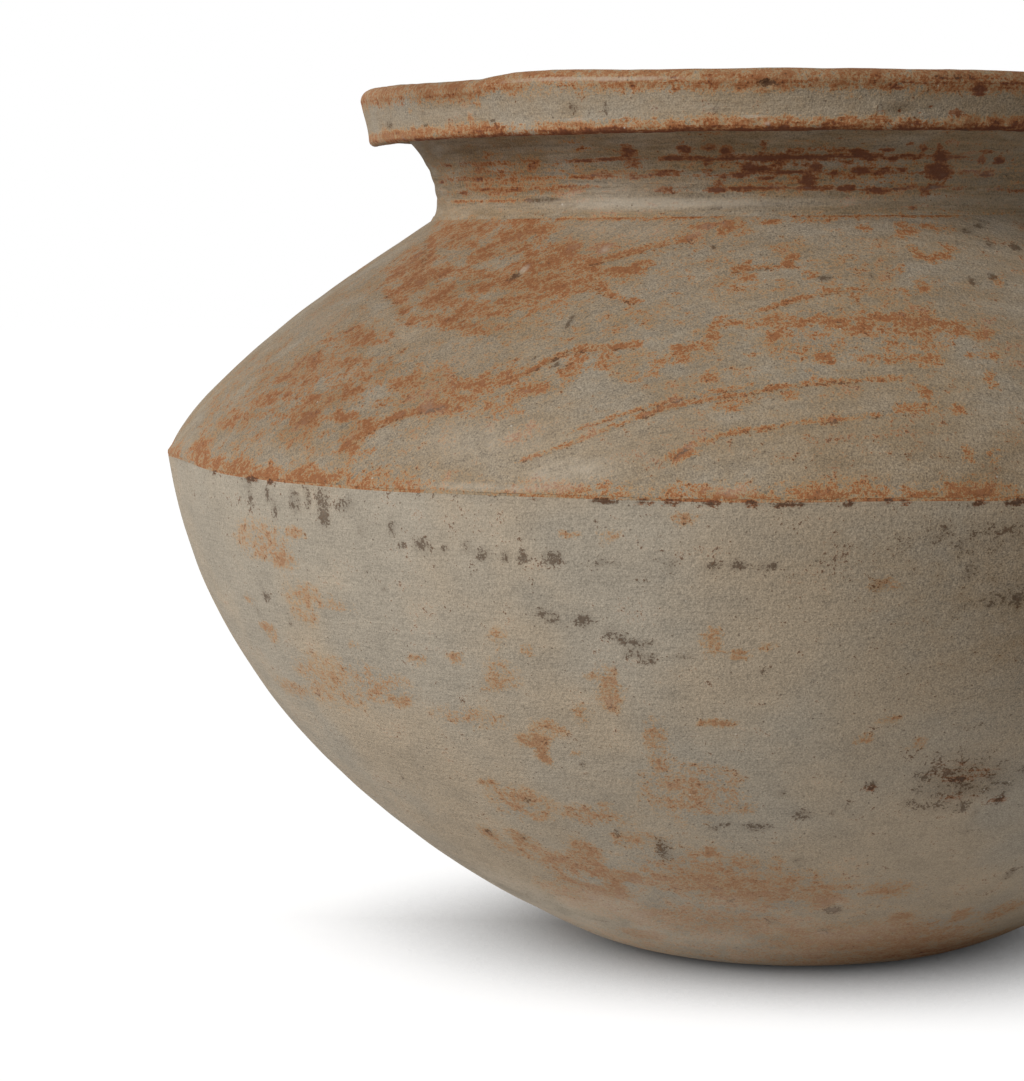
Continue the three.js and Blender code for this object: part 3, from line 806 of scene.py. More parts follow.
NECK_IRON = [
    (-51, 203.6, 6, 0.5, 0.7), (-41, 202.8, 1.2, 1.5, 0.9), (-41.5, 203.8, 2.4, 0.5, 0.9),
    (-27, 203.6, 12, 0.5, 1.1), (-50.5, 205.5, 1.2, 0.9, 0.8), (-31, 206.2, 1.4, 0.6, 0.9),
    (-23.6, 205, 1.9, 1.7, 1.3), (-23, 202.6, 2.3, 1, 1.2), (-32.5, 208, 1.6, 0.5, 0.8),
    (-54, 199.9, 3.6, 0.5, 0.9), (-47.8, 200, 1, 1.2, 1.1), (-46, 200, 1, 1.2, 1),
    (-42, 199.8, 2.4, 0.5, 0.8), (-37, 199.9, 3, 0.4, 0.6), (-33, 199.7, 2, 0.6, 0.8),
    (-30.5, 199.8, 1.4, 0.7, 0.7), (-27.6, 200, 1.4, 0.5, 0.6), (-23, 199.6, 2.4, 0.6, 0.8),
    (-53, 197.3, 4, 0.5, 0.95), (-47, 197.2, 5, 0.5, 0.95), (-36, 197.4, 6, 0.5, 0.8),
    (-33, 196.8, 1.6, 0.7, 0.6), (-54, 194.6, 4, 0.5, 0.9), (-48, 194.6, 6, 0.5, 0.9),
    (-62, 194.6, 6, 0.5, 0.6), (-15, 206, 1.6, 1.3, 1), (-11.5, 206.2, 1.5, 1.2, 1),
    (-9, 204.8, 1.6, 1.3, 1.2), (-15.5, 203.6, 6, 0.6, 1.2), (-12, 202.8, 1.2, 1, 1.1),
    (-4, 206.2, 1.2, 1, 0.9), (-4.3, 203.6, 1.2, 1.2, 1.2), (0, 203.4, 4, 0.5, 0.8),
    (6.5, 203.5, 2, 0.5, 0.8), (9, 204.3, 1.8, 1.1, 1.3), (10.5, 203.4, 1, 0.8, 1),
    (13, 205.3, 1.6, 0.7, 1), (14, 203.3, 1, 0.8, 1), (18, 205.4, 1, 1.3, 1.1),
    (20.5, 205.3, 0.9, 1, 1), (21, 203.6, 1.7, 1.5, 1.3), (28, 204.9, 1.6, 0.6, 1),
    (27.5, 203, 1, 1.1, 1.1), (6.5, 207.8, 1.4, 0.5, 0.8), (16.2, 206.6, 1, 0.6, 0.8),
    (24, 203.9, 1, 0.6, 0.8), (-18, 200.2, 3.4, 0.6, 1), (-12, 200.4, 1.2, 0.7, 1),
    (-9.8, 199.4, 0.8, 1.1, 0.9), (-7.4, 199.5, 2, 0.6, 1), (-6, 201, 1.6, 1.2, 1.2),
    (-4, 200.8, 1.4, 0.8, 1.1), (-2, 200.3, 1.2, 0.9, 1), (0, 200.1, 6, 0.45, 1),
    (3.2, 201, 1.6, 1.1, 1.2), (6, 199.7, 1.2, 0.6, 0.9), (9.5, 200.3, 1.9, 0.9, 1.2),
    (13, 200.6, 1, 0.6, 1), (15.5, 200.5, 1, 0.8, 1.1), (19.3, 200.8, 0.8, 1.3, 1),
    (21, 200.2, 2.7, 1.9, 1.4), (25, 200, 1.4, 0.5, 0.8), (28.5, 199.6, 1.2, 0.7, 1),
    (2.2, 198, 1.7, 1.7, 1.25), (-4, 198.8, 2, 0.5, 0.8), (-18.4, 196.2, 2.6, 0.8, 1.1),
    (-11, 196.3, 2.2, 0.7, 1.2), (-10.5, 197.5, 0.9, 0.7, 1), (-4.5, 196.6, 7, 0.4, 1),
    (2.5, 196.5, 2.6, 0.5, 1), (7.4, 196.3, 2.2, 0.8, 1.1), (12, 195.9, 3, 0.7, 1.2),
    (16, 196.3, 2, 0.5, 0.9), (20, 196.8, 4, 0.5, 0.9), (19, 195.8, 1, 1.2, 1.1),
    (24.5, 196.3, 1.4, 0.5, 1), (31, 196.3, 2, 0.5, 0.9), (17.3, 191.8, 0.8, 0.5, 1.1),
]
NECK_DENTS = [
    (-11, 191.8, 3.4, 0.6, 0.25, 6), (-11, 192.6, 2.6, 0.7, -0.35, 6), (-40, 194.5, 9, 0.7, 0.25),
]
NECK_SOOT = [(-11, 191.9, 2.2, 0.4, 0.9, 6), (-40, 194.4, 7, 0.5, 1.1)]
# Cracks along the keel: azimuth and half their width
KEEL_CRACKS = [
    (-50, 3.2), (-57, 1.2), (-14, 3.2), (-11, 2.2), (-8.8, 2), (-5.8, 1.6), (-2.8, 1.8), (0, 3.2),
    (4.2, 1.4), (7, 1.6), (8.6, 1.2), (14, 1.5), (17, 3), (-20, 0.8), (21, 2), (-47, 1.4),
]
RIM_IRON = [
    (12, 219.6, 1.3, 0.9, 1.2), (21.8, 219.1, 2, 1.3, 1.5), (26, 219.3, 1, 0.6, 1),
    (12.5, 213.5, 0.5, 0.4, 1.4), (14.7, 213.2, 0.5, 0.4, 1.4), (16, 214.6, 0.5, 0.4, 1.4),
    (10.2, 213.8, 0.5, 0.3, 1.2), (-18.8, 220, 0.6, 0.5, 1.4), (-14, 222.3, 0.9, 0.4, 1.5),
    (-38, 220.4, 0.7, 0.5, 0.9), (-28, 219.6, 0.8, 0.5, 0.8), (-57.4, 219.6, 1.6, 1.4, 0.6),
    (-42.4, 219.4, 1.2, 1.6, 0.6), (4, 221, 1.4, 0.5, 0.8), (19.5, 213, 2, 1.6, 0.6),
]
RIM_RUST = [
    (-56.4, 217.4, 0.9, 1.4, 1), (-41.4, 217.6, 1, 1.4, 1), (-43.4, 214.2, 0.9, 1.2, 1),
    (-41, 212.4, 1.6, 0.7, 1), (-3, 218.8, 3, 0.6, 1.2), (-10, 218.6, 2, 1, 0.9),
    (6, 217.6, 3, 0.8, 0.5),
]
RIM_SOOT = [
    (-3, 220.4, 2, 1.1, 1.1), (-64, 213.8, 2.4, 1.3, 0.8), (-53, 213, 1.3, 0.5, 1.1),
    (-53, 216, 1.5, 0.6, 0.7), (-27, 215.2, 1, 1.5, 0.8), (-22.5, 215, 0.8, 1.7, 0.7),
    (-39.4, 213, 1.3, 0.5, 1), (-42.2, 215.4, 0.6, 0.6, 1), (15, 212.2, 3, 0.6, 0.7),
    (-9, 214.2, 0.5, 1.4, 0.8), (18, 222.3, 6, 0.8, 0.6),
]
# Pale grit and dust; the long strip along the top at -24, the strip above the lower ridge at -27
# and the mark on the chip's left edge at 10 are partly painted highlights
RIM_PALE_AND_HIGHLIGHTS = [
    (-24, 222, 26, 0.6, 1.2), (-27, 212.6, 14, 0.5, 0.9), (-4.5, 212.4, 3.4, 0.5, 1.2),
    (10, 214.4, 0.5, 1.4, 1.3), (-3, 210.8, 0.7, 0.45, 1.3), (3, 210.1, 0.5, 0.35, 1.3),
    (23, 218.9, 0.6, 0.4, 1.3), (-45, 216, 20, 1.4, 0.5), (-15, 215, 20, 1.6, 0.5),
]
# Painted shade in the hollow of the chip on the rim's face
RIM_CHIP_SHADE = [(12.8, 213.8, 3.6, 1.8, 0.7)]
RIM_MARKS = {
    "rust": RIM_RUST, "iron": RIM_IRON, "soot": RIM_SOOT, "pale": RIM_PALE_AND_HIGHLIGHTS, "smoke": RIM_CHIP_SHADE,
}
RIM_DENTS = [
    (-3, 220.5, 2.6, 1.5, 0.9), (-3, 218.9, 2.8, 0.7, -0.25), (-18.8, 220, 0.8, 0.7, 0.35),
    (-14, 222.3, 1, 0.7, 0.35), (12.6, 213.8, 5, 2.4, 0.65), (9.6, 214.6, 0.8, 2.6, -0.4, -15),
    (-41, 213.6, 3.4, 0.7, -0.35, -32), (-40.6, 212.6, 3, 0.8, 0.35, -32),
    (-7.4, 213.4, 0.8, 2, 0.25, 20), (12.5, 213.5, 0.7, 0.7, 0.35), (14.7, 213.2, 0.7, 0.7, 0.35),
    (16, 214.6, 0.7, 0.7, 0.35),
]
# Azimuths of the beads of clay along the rim's lower ridge, and how each bead is raised
RIM_BEADS = (-3, 3, -9, -22, -30, -37, 12, 20, 26, -47)
RIM_BEAD = {"height": 210.5, "half_width": 1.1, "half_height": 0.9, "depth": -0.35}

# Washes over the marks: stain, strength, height and how far it spreads, and, where it doesn't
# go all round, azimuth and how far it spreads
BOWL_WASHES = [
    ("rust", 0.36, 6, 8), ("soot", 0.08, 121, 9), ("soot", 0.14, 96, 28, 27, 15),
    ("rust", 0.3, 24, 13, -8, 30), ("rust", 0.1, 45, 14, -14, 20),
    # The washes low down at azimuth 33, these two and the last, are painted shade where the bowl
    # nears the floor at the right, red-brown
    ("rust", 0.6, 7.5, 4.5, 33, 30), ("iron", 0.42, 5.5, 2.2, 33, 24),
    ("smoke", 0.8, 103, 32, 27, 20), ("smoke", 0.22, 118, 14, 6, 14),
    ("smoke", 0.4, 7.5, 4.5, 33, 30),
]
SHOULDER_WASHES = [
    ("rust", 0.34, 180, 14, -44, 24), ("rust", 0.16, 178, 12, -8, 18),
    ("rust", 0.46, 146, 13, -50, 20), ("rust", 0.16, 165, 24, -6, 30),
    # The second wash here, at 170 on the left, is painted shade
    ("smoke", 0.3, 143, 12, -48, 18), ("smoke", 0.45, 170, 22, -50, 28),
    ("smoke", 0.1, 182, 12, -8, 16), ("smoke", 0.32, 135, 8, 16, 12),
    # The pale washes at 185 under the neck and just above the keel are painted highlights
    ("pale", 0.5, 141, 9, -20, 12), ("pale", 0.35, 185, 4.5, -24, 15),
    ("pale", 0.9, KEEL_HEIGHT + 1.8, 0.9, -24, 7),
]
NECK_WASHES = [
    # These two washes high on the neck are painted shade under the rim
    ("smoke", 0.3, 201, 6, -8, 18), ("smoke", 0.42, 204, 6, -52, 15),
    ("iron", 0.42, 203.5, 2.6, 3, 9), ("pale", 0.35, 201, 7, 28, 8),
    ("pale", 0.5, 197.8, 1, -14, 4), ("pale", 0.9, 197, 3.5, -27, 9),
]
# How far the rim's top sinks below true, by azimuth: the hand left it so
RIM_LINE = [
    (-180, 0), (-100, 0), (-75, 0.4), (-60, 1), (-50, 1.4), (-42, 1.4), (-36, 0.2), (-30, 0.1),
    (-20, 0.7), (-10, 1), (10, 1.3), (27, 1.6), (60, 1.1), (100, 0.2), (180, 0),
]
# Heights of the throwing rings on the neck
RING_HEIGHTS = (196.4, 199.9, 203.6)

# Round the sides and back nothing is known, so like marks are strewn from azimuth to azimuth
STREWN_FROM = 30
STREWN_TO = 272


def strewn(seed, count, low, high):
    """Places round the sides and back, with the luck that sizes each mark."""
    luck = random.Random(seed)
    for _ in range(count):
        yield luck.uniform(STREWN_FROM, STREWN_TO), luck.uniform(low, high), luck


class JAR_OT_lower_bowl(bpy.types.Operator):
    """Build the beaten lower bowl with its worn flat foot"""

    bl_idname = "jar.lower_bowl"
    bl_label = "Lower Bowl"

    # How far below the keel the flank ends, and where the closer rows start and end, in mm
    FLANK_END, BRINK_START, BRINK_END = 5, 4.4, 0.2
    # Steps of the much finer curve that the brink is taken from, and how many make one row
    BRINK_STEPS, STEPS_A_ROW = 1400, 9
    # The foot is worn, so the beaten lumps are at their full depth only from this height up
    LUMPS_FROM = 12

    def execute(self, context):
        shape = context.scene.jar_shape
        foot = straight((0, 0), (FOOT_RADIUS, 0), 8)
        flank = [p for p in bowl_curve(96) if p[1] < KEEL_HEIGHT - self.FLANK_END]
        brink = [p for p in bowl_curve(self.BRINK_STEPS) if p[1] >= KEEL_HEIGHT - self.BRINK_START]
        brink = [p for p in brink[:: self.STEPS_A_ROW] if p[1] < KEEL_HEIGHT - self.BRINK_END]
        brink.append(KEEL_JOINT[0][0])
        tongue = KEEL_JOINT[0][1:]
        inside = [
            p
            for p in inside_of(bowl_curve(30), FOOT_WALL, WALL)
            if p[1] < KEEL_HEIGHT - KEEL_LAP and 0 < p[0] < tongue[-1][0]
        ]
        inside = inside[::-1] + straight((FOOT_RADIUS * 0.8, FOOT_WALL), (0, FOOT_WALL), 3)
        wall = Wall("bowl_wall", foot[:-1] + flank + brink, tongue, inside, [], shape.columns)

        rising = np.clip(wall.height / self.LUMPS_FROM, 0, 1)
        wall.push += (wall.lumps(26) * 0.35 + wall.lumps(8, 5) * 0.10) * rising
        wall.push *= 1 - hump(wall.height, KEEL_HEIGHT, 3)
        wall.dabs("soot", BOWL_SOOT)
        for azimuth, height, half_width, half_height, strength, *tilt in BOWL_RUST:
            size = half_width * BOWL_RUST_WIDER, half_height * BOWL_RUST_HIGHER
            wall.dab("rust", azimuth, height, *size, strength + BOWL_RUST_STRONGER, *tilt)
        wall.dabs("iron", BOWL_IRON)
        for azimuth, half_width in KEEL_CRACKS:
            wall.dab("iron", azimuth, KEEL_HEIGHT - 0.4, half_width * 0.9, 0.5, 1.15)
            wall.dab("soot", azimuth, KEEL_HEIGHT - 0.3, half_width, 0.35, 1.1)
        near_keel = hump(wall.height, KEEL_HEIGHT, 1.2)
        wall.stains["soot"] += 0.3 * near_keel * np.clip(0.5 + wall.drift(5, 2) * 2, 0, 1)
        wall.washes(BOWL_WASHES)
        wall.dabs("smoke", BOWL_SMOKE)
        # Painted light: a pale wash low on the bowl, less on the right, stands for light thrown up
        # from the floor
        wall.stains["pale"] += 0.9 * hump(wall.height, 17, 14) * (1 - 0.8 * wall.around(35, 30))
        for azimuth, height, luck in strewn(1, 60, 20, 127):
            size = luck.uniform(1, 6)
            wall.dab("rust", azimuth, height, size * 1.5, size * 0.7, luck.uniform(0.5, 1))
        for azimuth, height, luck in strewn(2, 90, 30, 127):
            size = luck.uniform(0.7, 2.4)
            wall.dab("soot", azimuth, height, size * 1.2, size * 0.8, luck.uniform(0.7, 1.1))
        piece = wall.finish(shape.unevenness)
        look = context.scene.jar_colours
        clay = fired_clay("bowl_clay", look, streak=1.6, comb=0.12, grain=1.3, bite=0.46)
        put_in_place(piece, "lower_bowl", clay)
        return {"FINISHED"}


class JAR_OT_shoulder(bpy.types.Operator):
    """Build the wiped shoulder, whose lower edge laps over the bowl"""

    bl_idname = "jar.shoulder"
    bl_label = "Shoulder"

    # Its marks are finer than the bowl's, so it has more columns
    MORE_COLUMNS = 192

    def execute(self, context):
        shape = context.scene.jar_shape
        low, high = KEEL_HEIGHT + KEEL_LAP + LUTE, SEAM_HEIGHT - SEAM_LAP
        inside = inside_of(shoulder_curve(22), KEEL_SKIRT + KEEL_TONGUE, WALL)
        inside = [p for p in inside if low < p[1] < high][::-1]
        outside, top, bottom = shoulder_curve(90), SEAM_JOINT[0][1:], KEEL_JOINT[1][:0:-1]
        columns = shape.columns + self.MORE_COLUMNS
        wall = Wall("shoulder_wall", outside, top, inside, bottom, columns)

        wall.push += wall.lumps(24, 3) * 0.35 + wall.lumps(8, 8) * 0.12
        wall.push *= 1 - hump(wall.height, KEEL_HEIGHT, 3) - hump(wall.height, SEAM_HEIGHT, 3.5)
        lip = hump(wall.height, KEEL_HEIGHT + 1.6, 1)
        wall.push += lip * (shape.keel_lip / MM) * (0.7 + 0.8 * wall.drift(4, 1))
        # The outline at the far left is a little flatter
        wall.push -= 0.9 * hump(wall.height, 156, 14) * wall.around(-95, 25)
        wall.dabs("rust", SHOULDER_RUST)
        for half_width, strength, depth, stops in SHOULDER_TRAILS:
            wall.trail("rust", stops, half_width * 0.9, strength * 1.1, depth)
            # A thin dark line under each trail is painted shade along the groove's lower edge
            below = [(azimuth, height - half_width) for azimuth, height in stops]
            wall.trail("soot", below, 0.3, 0.6)
        for start, end in SEAM_LINES:
            seam = [(start, SEAM_HEIGHT - 0.3), (end, SEAM_HEIGHT - 0.1)]
            wall.trail("rust", seam, 0.75, 1.4)
            wall.trail("iron", seam, 0.55, 0.68)
        wall.dabs("soot", SHOULDER_SOOT)
        wall.dabs("pale", SHOULDER_PALE)
        along = np.clip(0.9 + 0.8 * wall.drift(7, 3) + 0.4 * wall.around(-50, 13), 0, 1.15)
        along *= 1 - 0.65 * wall.around(-25, 9)
        band = hump(wall.height, KEEL_HEIGHT + 1.4, 2.2 + 1.8 * np.clip(wall.drift(3, 4), 0, 1))
        wall.stains["rust"] += band * along
        wall.washes(SHOULDER_WASHES)
        wall.dents(SHOULDER_DENTS)
        for azimuth, half_width in KEEL_CRACKS:
            wall.press(azimuth, KEEL_HEIGHT + 0.5, half_width, 0.8, 0.3)
        for azimuth, height, luck in strewn(3, 120, 134, 188):
            size = luck.uniform(1.2, 5)
            tilt = luck.uniform(-10, 12)
            wall.dab("rust", azimuth, height, size * 2, size * 0.5, luck.uniform(0.6, 1.1), tilt)
        for azimuth, height, luck in strewn(4, 30, 134, 188):
            wall.dab("soot", azimuth, height, luck.uniform(0.6, 1.6), 0.7, luck.uniform(0.9, 1.4))
        for azimuth, height, luck in strewn(5, 14, 138, 168):
            turn, climb = luck.uniform(10, 26), luck.uniform(4, 14)
            stops = [
                (azimuth + turn * t, height + climb * (1 - (1 - t) ** 2))
                for t in (0, 0.3, 0.6, 1)
            ]
            wall.trail("rust", stops, 0.6, luck.uniform(0.6, 0.9), 0.15)
        piece = wall.finish(shape.unevenness)
        look = context.scene.jar_colours
        clay = fired_clay("shoulder_clay", look, 0.55, 1.7, 0.35, 1.8, scratch=0.03, wiped=True)
        put_in_place(piece, "shoulder", clay)
        return {"FINISHED"}


class JAR_OT_neck(bpy.types.Operator):
    """Build the thrown neck with its rings, spread at the foot over the shoulder"""

    bl_idname = "jar.neck"
    bl_label = "Neck"

    MORE_COLUMNS = 384
    # In mm: how far the neck's foot spreads over the shoulder, and how far it drops there
    SPREAD, DROP = 0.8, 0.66
    # The cove above that foot: its lean in degrees, its two pulls in mm and its steps
    COVE_LEAN, COVE_PULL, COVE_PULL_ABOVE, COVE_STEPS = -40, 1.6, 2.2, 10
    # In mm: half the width of a throwing ring, and how far above it the ridge between stands
    RING_WIDTH, RIDGE_ABOVE = 0.7, 1.7
    # Where the slip on the neck turns from a thin orange, on the left, to dark
    THIN_SLIP_UP_TO = -28

    def execute(self, context):
        shape = context.scene.jar_shape
        tip = (SEAM_RADIUS + self.SPREAD, SEAM_HEIGHT - self.DROP)
        waist = (WAIST_RADIUS, WAIST_HEIGHT), 0, self.COVE_PULL_ABOVE
        cove = sweep(tip, self.COVE_LEAN, self.COVE_PULL, *waist, self.COVE_STEPS)
        top = SEAT_JOINT[0][1:]
        inside = inside_of(neck_curve(14), NECK_WALL, NECK_WALL)
        low = SEAM_HEIGHT + SEAM_LAP + LUTE
        inside = [p for p in inside if p[1] > low and p[0] < top[-1][0]][::-1]
        outside, bottom = cove[:-1] + neck_curve(52), SEAM_JOINT[1][::-1]
        columns = shape.columns + self.MORE_COLUMNS
        wall = Wall("neck_wall", outside, top, inside, bottom, columns)

        wall.push += wall.lumps(9) * 0.08 + wall.lumps(24, 4) * 0.15
        wall.push *= 1 - hump(wall.height, SEAM_HEIGHT, 2)
        swayed = wall.height + wall.drift(14, 2) * 0.5
        bare = 1 - 0.8 * wall.around(-82, 14)
        for lot, ring in enumerate(RING_HEIGHTS):
            deep = 0.6 + 0.7 * wall.drift(8, 5 + lot)
            ring_shape = hump(swayed, ring, self.RING_WIDTH)
            wall.push -= ring_shape * deep * (shape.ring_depth / MM)
            wall.push += hump(swayed, ring + self.RIDGE_ABOVE, 1.2) * 0.12
            dashes = np.clip(0.4 + 0.7 * wall.drift(5, 9 + lot), 0, 1)
            dashes *= bare * (1 - 0.6 * wall.around(-29, 12))
            wall.stains["iron"] += ring_shape * dashes
        wall.stains["iron"] += 0.5 * hump(swayed, RING_HEIGHTS[-1], 0.5) * wall.around(2, 14)
        wall.washes(NECK_WASHES)
        for azimuth, height, half_width, half_height, strength in NECK_IRON:
            thin = azimuth < self.THIN_SLIP_UP_TO
            if thin:
                wall.dab("rust", azimuth, height, half_width * 1.6, half_height * 0.9, 0.9)
            strength *= 0.56 if thin else 0.94
            wall.dab("iron", azimuth, height, half_width * 1.2, half_height * 1.1, strength)
        streaky = 0.22 + 0.34 * wall.around(-50, 18) + 0.5 * wall.around(3, 12)
        streaky *= hump(wall.height, 200, 5) * (0.9 + 0.5 * wall.drift(10, 1)) * bare
        wall.stains["rust"] += streaky
        wall.stains["iron"] += streaky * (0.6 - 0.3 * wall.around(-50, 20))
        loose = np.clip(0.7 + 1.1 * wall.drift(6, 12), 0, 1)
        loose = np.maximum(loose, 0.95 * wall.around(8, 16))
        wall.stains["rust"] += 0.8 * hump(wall.height, SEAM_HEIGHT - 0.2, 0.6) * loose
        wall.stains["iron"] += 0.4 * hump(wall.height, SEAM_HEIGHT - 0.4, 0.4) * loose
        # Pale clay round the cove, with a painted highlight on it strongest near azimuth -16
        wall.stains["pale"] += hump(wall.height, 193.2, 1.6) * (0.4 + 0.95 * wall.around(-16, 18))
        for azimuth, height, luck in strewn(6, 70, 195, 207):
            size = luck.uniform(0.7, 2)
            wall.dab("iron", azimuth, height, size * 1.4, size * 0.8, luck.uniform(0.9, 1.3))
        wall.dents(NECK_DENTS)
        wall.dabs("soot", NECK_SOOT)
        piece = wall.finish(shape.unevenness)
        look = context.scene.jar_colours
        clay = fired_clay("neck_clay", look, 0.8, 4.0, 0.6, 1.5, scratch=0.04)
        put_in_place(piece, "neck", clay)
        return {"FINISHED"}


class JAR_OT_rim_band(bpy.types.Operator):
    """Build the rim band with its roll, channel and lower ridge"""

    bl_idname = "jar.rim_band"
    bl_label = "Rim Band"

    # In mm: how far the ridge stands back, and the radii and flat of the rim's edges
    RIDGE_BACK, CORNER, ROLL, LIP, LIP_FLAT = 2.3, 1.5, 3, 3.5, 5
    MORE_COLUMNS = 384
    # In mm: the radius at which the band's outer face starts, and how fast its marks set in
    FACE_FROM, FACE_FADE = 106, 3
    # In mm: the top's sinking sets in above one height, the ridge's rise below another
    SINK_FROM, SINK_FADE = 212, 10
    RISE_BELOW, RISE_FADE = 216, 4

    def execute(self, context):
        shape = context.scene.jar_shape
        seat, corner, roll = SEAT_JOINT[1], self.CORNER, self.ROLL
        low_centre = (RIM_RADIUS - self.RIDGE_BACK - corner, RIM_BOTTOM + corner)
        under = straight(seat[0], (low_centre[0], RIM_BOTTOM), 9)
        low = arc(low_centre, corner, -90, 0, 7)
        face = sweep(low[-1], 4, 3, (RIM_RADIUS, RIM_TOP - roll), 15, 4, 20)
        top = arc((RIM_RADIUS - roll, RIM_TOP - roll), roll, 0, 90, 9)
        lip_end = (RIM_RADIUS - roll - self.LIP_FLAT, RIM_TOP)
        lip = arc((lip_end[0], RIM_TOP - self.LIP), self.LIP, 90, 145, 6)
        throat = straight(lip[-1], seat[-1], 9)
        outside = under + low[1:] + face[1:] + top[1:] + straight(top[-1], lip_end, 5)[1:]
        outside += lip[1:] + throat[1:-1]
        columns = shape.columns + self.MORE_COLUMNS
        wall = Wall("rim_wall", outside, [], [], seat[:0:-1], columns)

        outer = np.clip((wall.radius - self.FACE_FROM) / self.FACE_FADE, 0, 1)
        wall.push += wall.lumps(12) * 0.14 + wall.lumps(4, 3) * 0.07
        patchy = 1.0 + 0.5 * wall.drift(6, 2)
        ridge = hump(wall.height, RIM_BOTTOM + 1.4, 1.7) * outer
        front = 1 - 0.8 * wall.around(-90, 42)
        rough = 0.36 + wall.lumps(2.2) * 0.3 + wall.lumps(5, 6) * 0.24
        wall.push += ridge * rough * front
        wall.stains["rust"] += ridge * 1.2 * patchy
        wall.stains["iron"] += ridge * 0.45 * patchy * front
        crest = hump(wall.height, RIM_TOP - 3.2, 2.3) * outer
        right, left = wall.around(20, 34), wall.around(-30, 10)
        wall.stains["rust"] += crest * (0.95 + 0.4 * wall.drift(9, 4) + 0.6 * right - 0.3 * left)
        wall.stains["iron"] += crest * (0.28 + 0.4 * wall.drift(4, 8) + 0.3 * right)
        # Iron slip along the lower edge and underside, which is also painted shade under the ridge
        wall.stains["iron"] += hump(wall.height, RIM_BOTTOM + 0.1, 0.8) * 0.9 * outer * front
        wall.stains["smoke"] += 0.5 * outer * wall.around(28, 22)
        wall.stains["smoke"] += 0.4 * crest * wall.around(4, 14)
        upper_left = hump(wall.height, RIM_TOP - 2, 4) * wall.around(-52, 14)
        wall.stains["smoke"] += 0.6 * outer * upper_left
        flat = hump(wall.radius, RIM_RADIUS - roll, 5.5) * (wall.height > RIM_TOP - 2.5)
        wall.stains["rust"] += flat * (0.9 + 0.6 * wall.drift(8, 11))
        for stain, marks in RIM_MARKS.items():
            wall.dabs(stain, marks)
        wall.dents(RIM_DENTS)
        for azimuth in RIM_BEADS:
            wall.press(azimuth, **RIM_BEAD)
        for azimuth, height, luck in strewn(7, 30, 210, 222):
            wide, high = luck.uniform(0.7, 3), luck.uniform(0.6, 1.4)
            wall.press(azimuth, height, wide, high, luck.uniform(-0.2, 0.5))
            wall.dab("iron", azimuth, height, wide * 0.6, high * 0.6, luck.uniform(0.8, 1.2))
        turns, sinks = zip(*RIM_LINE)
        upper = np.clip((wall.height - self.SINK_FROM) / self.SINK_FADE, 0, 1)
        wall.lift -= np.interp(wall.azimuth, turns, sinks) * upper
        # The lower ridge rises at the far left
        lower = np.clip((self.RISE_BELOW - wall.height) / self.RISE_FADE, 0, 1)
        wall.lift += 2.6 * wall.around(-108, 17) * outer * lower
        piece = wall.finish(shape.unevenness)
        look = context.scene.jar_colours
        clay = fired_clay("rim_clay", look, 0.5, 1.6, 0.2, 1.5, 0.75)
        put_in_place(piece, "rim_band", clay)
        return {"FINISHED"}


class JAR_OT_lutes(bpy.types.Operator):
    """Build the slip in the three lap joints"""

    bl_idname = "jar.lutes"
    bl_label = "Lutes"

    def execute(self, context):
        shape = context.scene.jar_shape
        slip = fired_clay("slip", context.scene.jar_colours, 0.6, grain=1.5)
        joints = {"keel_lute": KEEL_JOINT, "neck_lute": SEAM_JOINT, "rim_lute": SEAT_JOINT}
        for node, (lower, upper) in joints.items():
            name = node.replace("lute", "slip")
            face = straight(lower[0], upper[0], 2)
            wall = Wall(name, face, upper[1:], [], lower[:0:-1], shape.columns)
            rusty = 0.85 + 0.8 * wall.drift(7, 3) + 0.4 * wall.around(-50, 13)
            wall.stains["rust"] += np.clip(rusty, 0, 1)
            wall.stains["rust"] -= 0.5 * wall.around(-24, 7)
            if node == "keel_lute":
                for azimuth, half_width in KEEL_CRACKS:
                    wall.dab("iron", azimuth, KEEL_HEIGHT, half_width, 0.6, 1.2)
                    wall.dab("soot", azimuth, KEEL_HEIGHT, half_width * 0.8, 0.5, 1.1)
            put_in_place(wall.finish(shape.unevenness), node, slip)
        return {"FINISHED"}


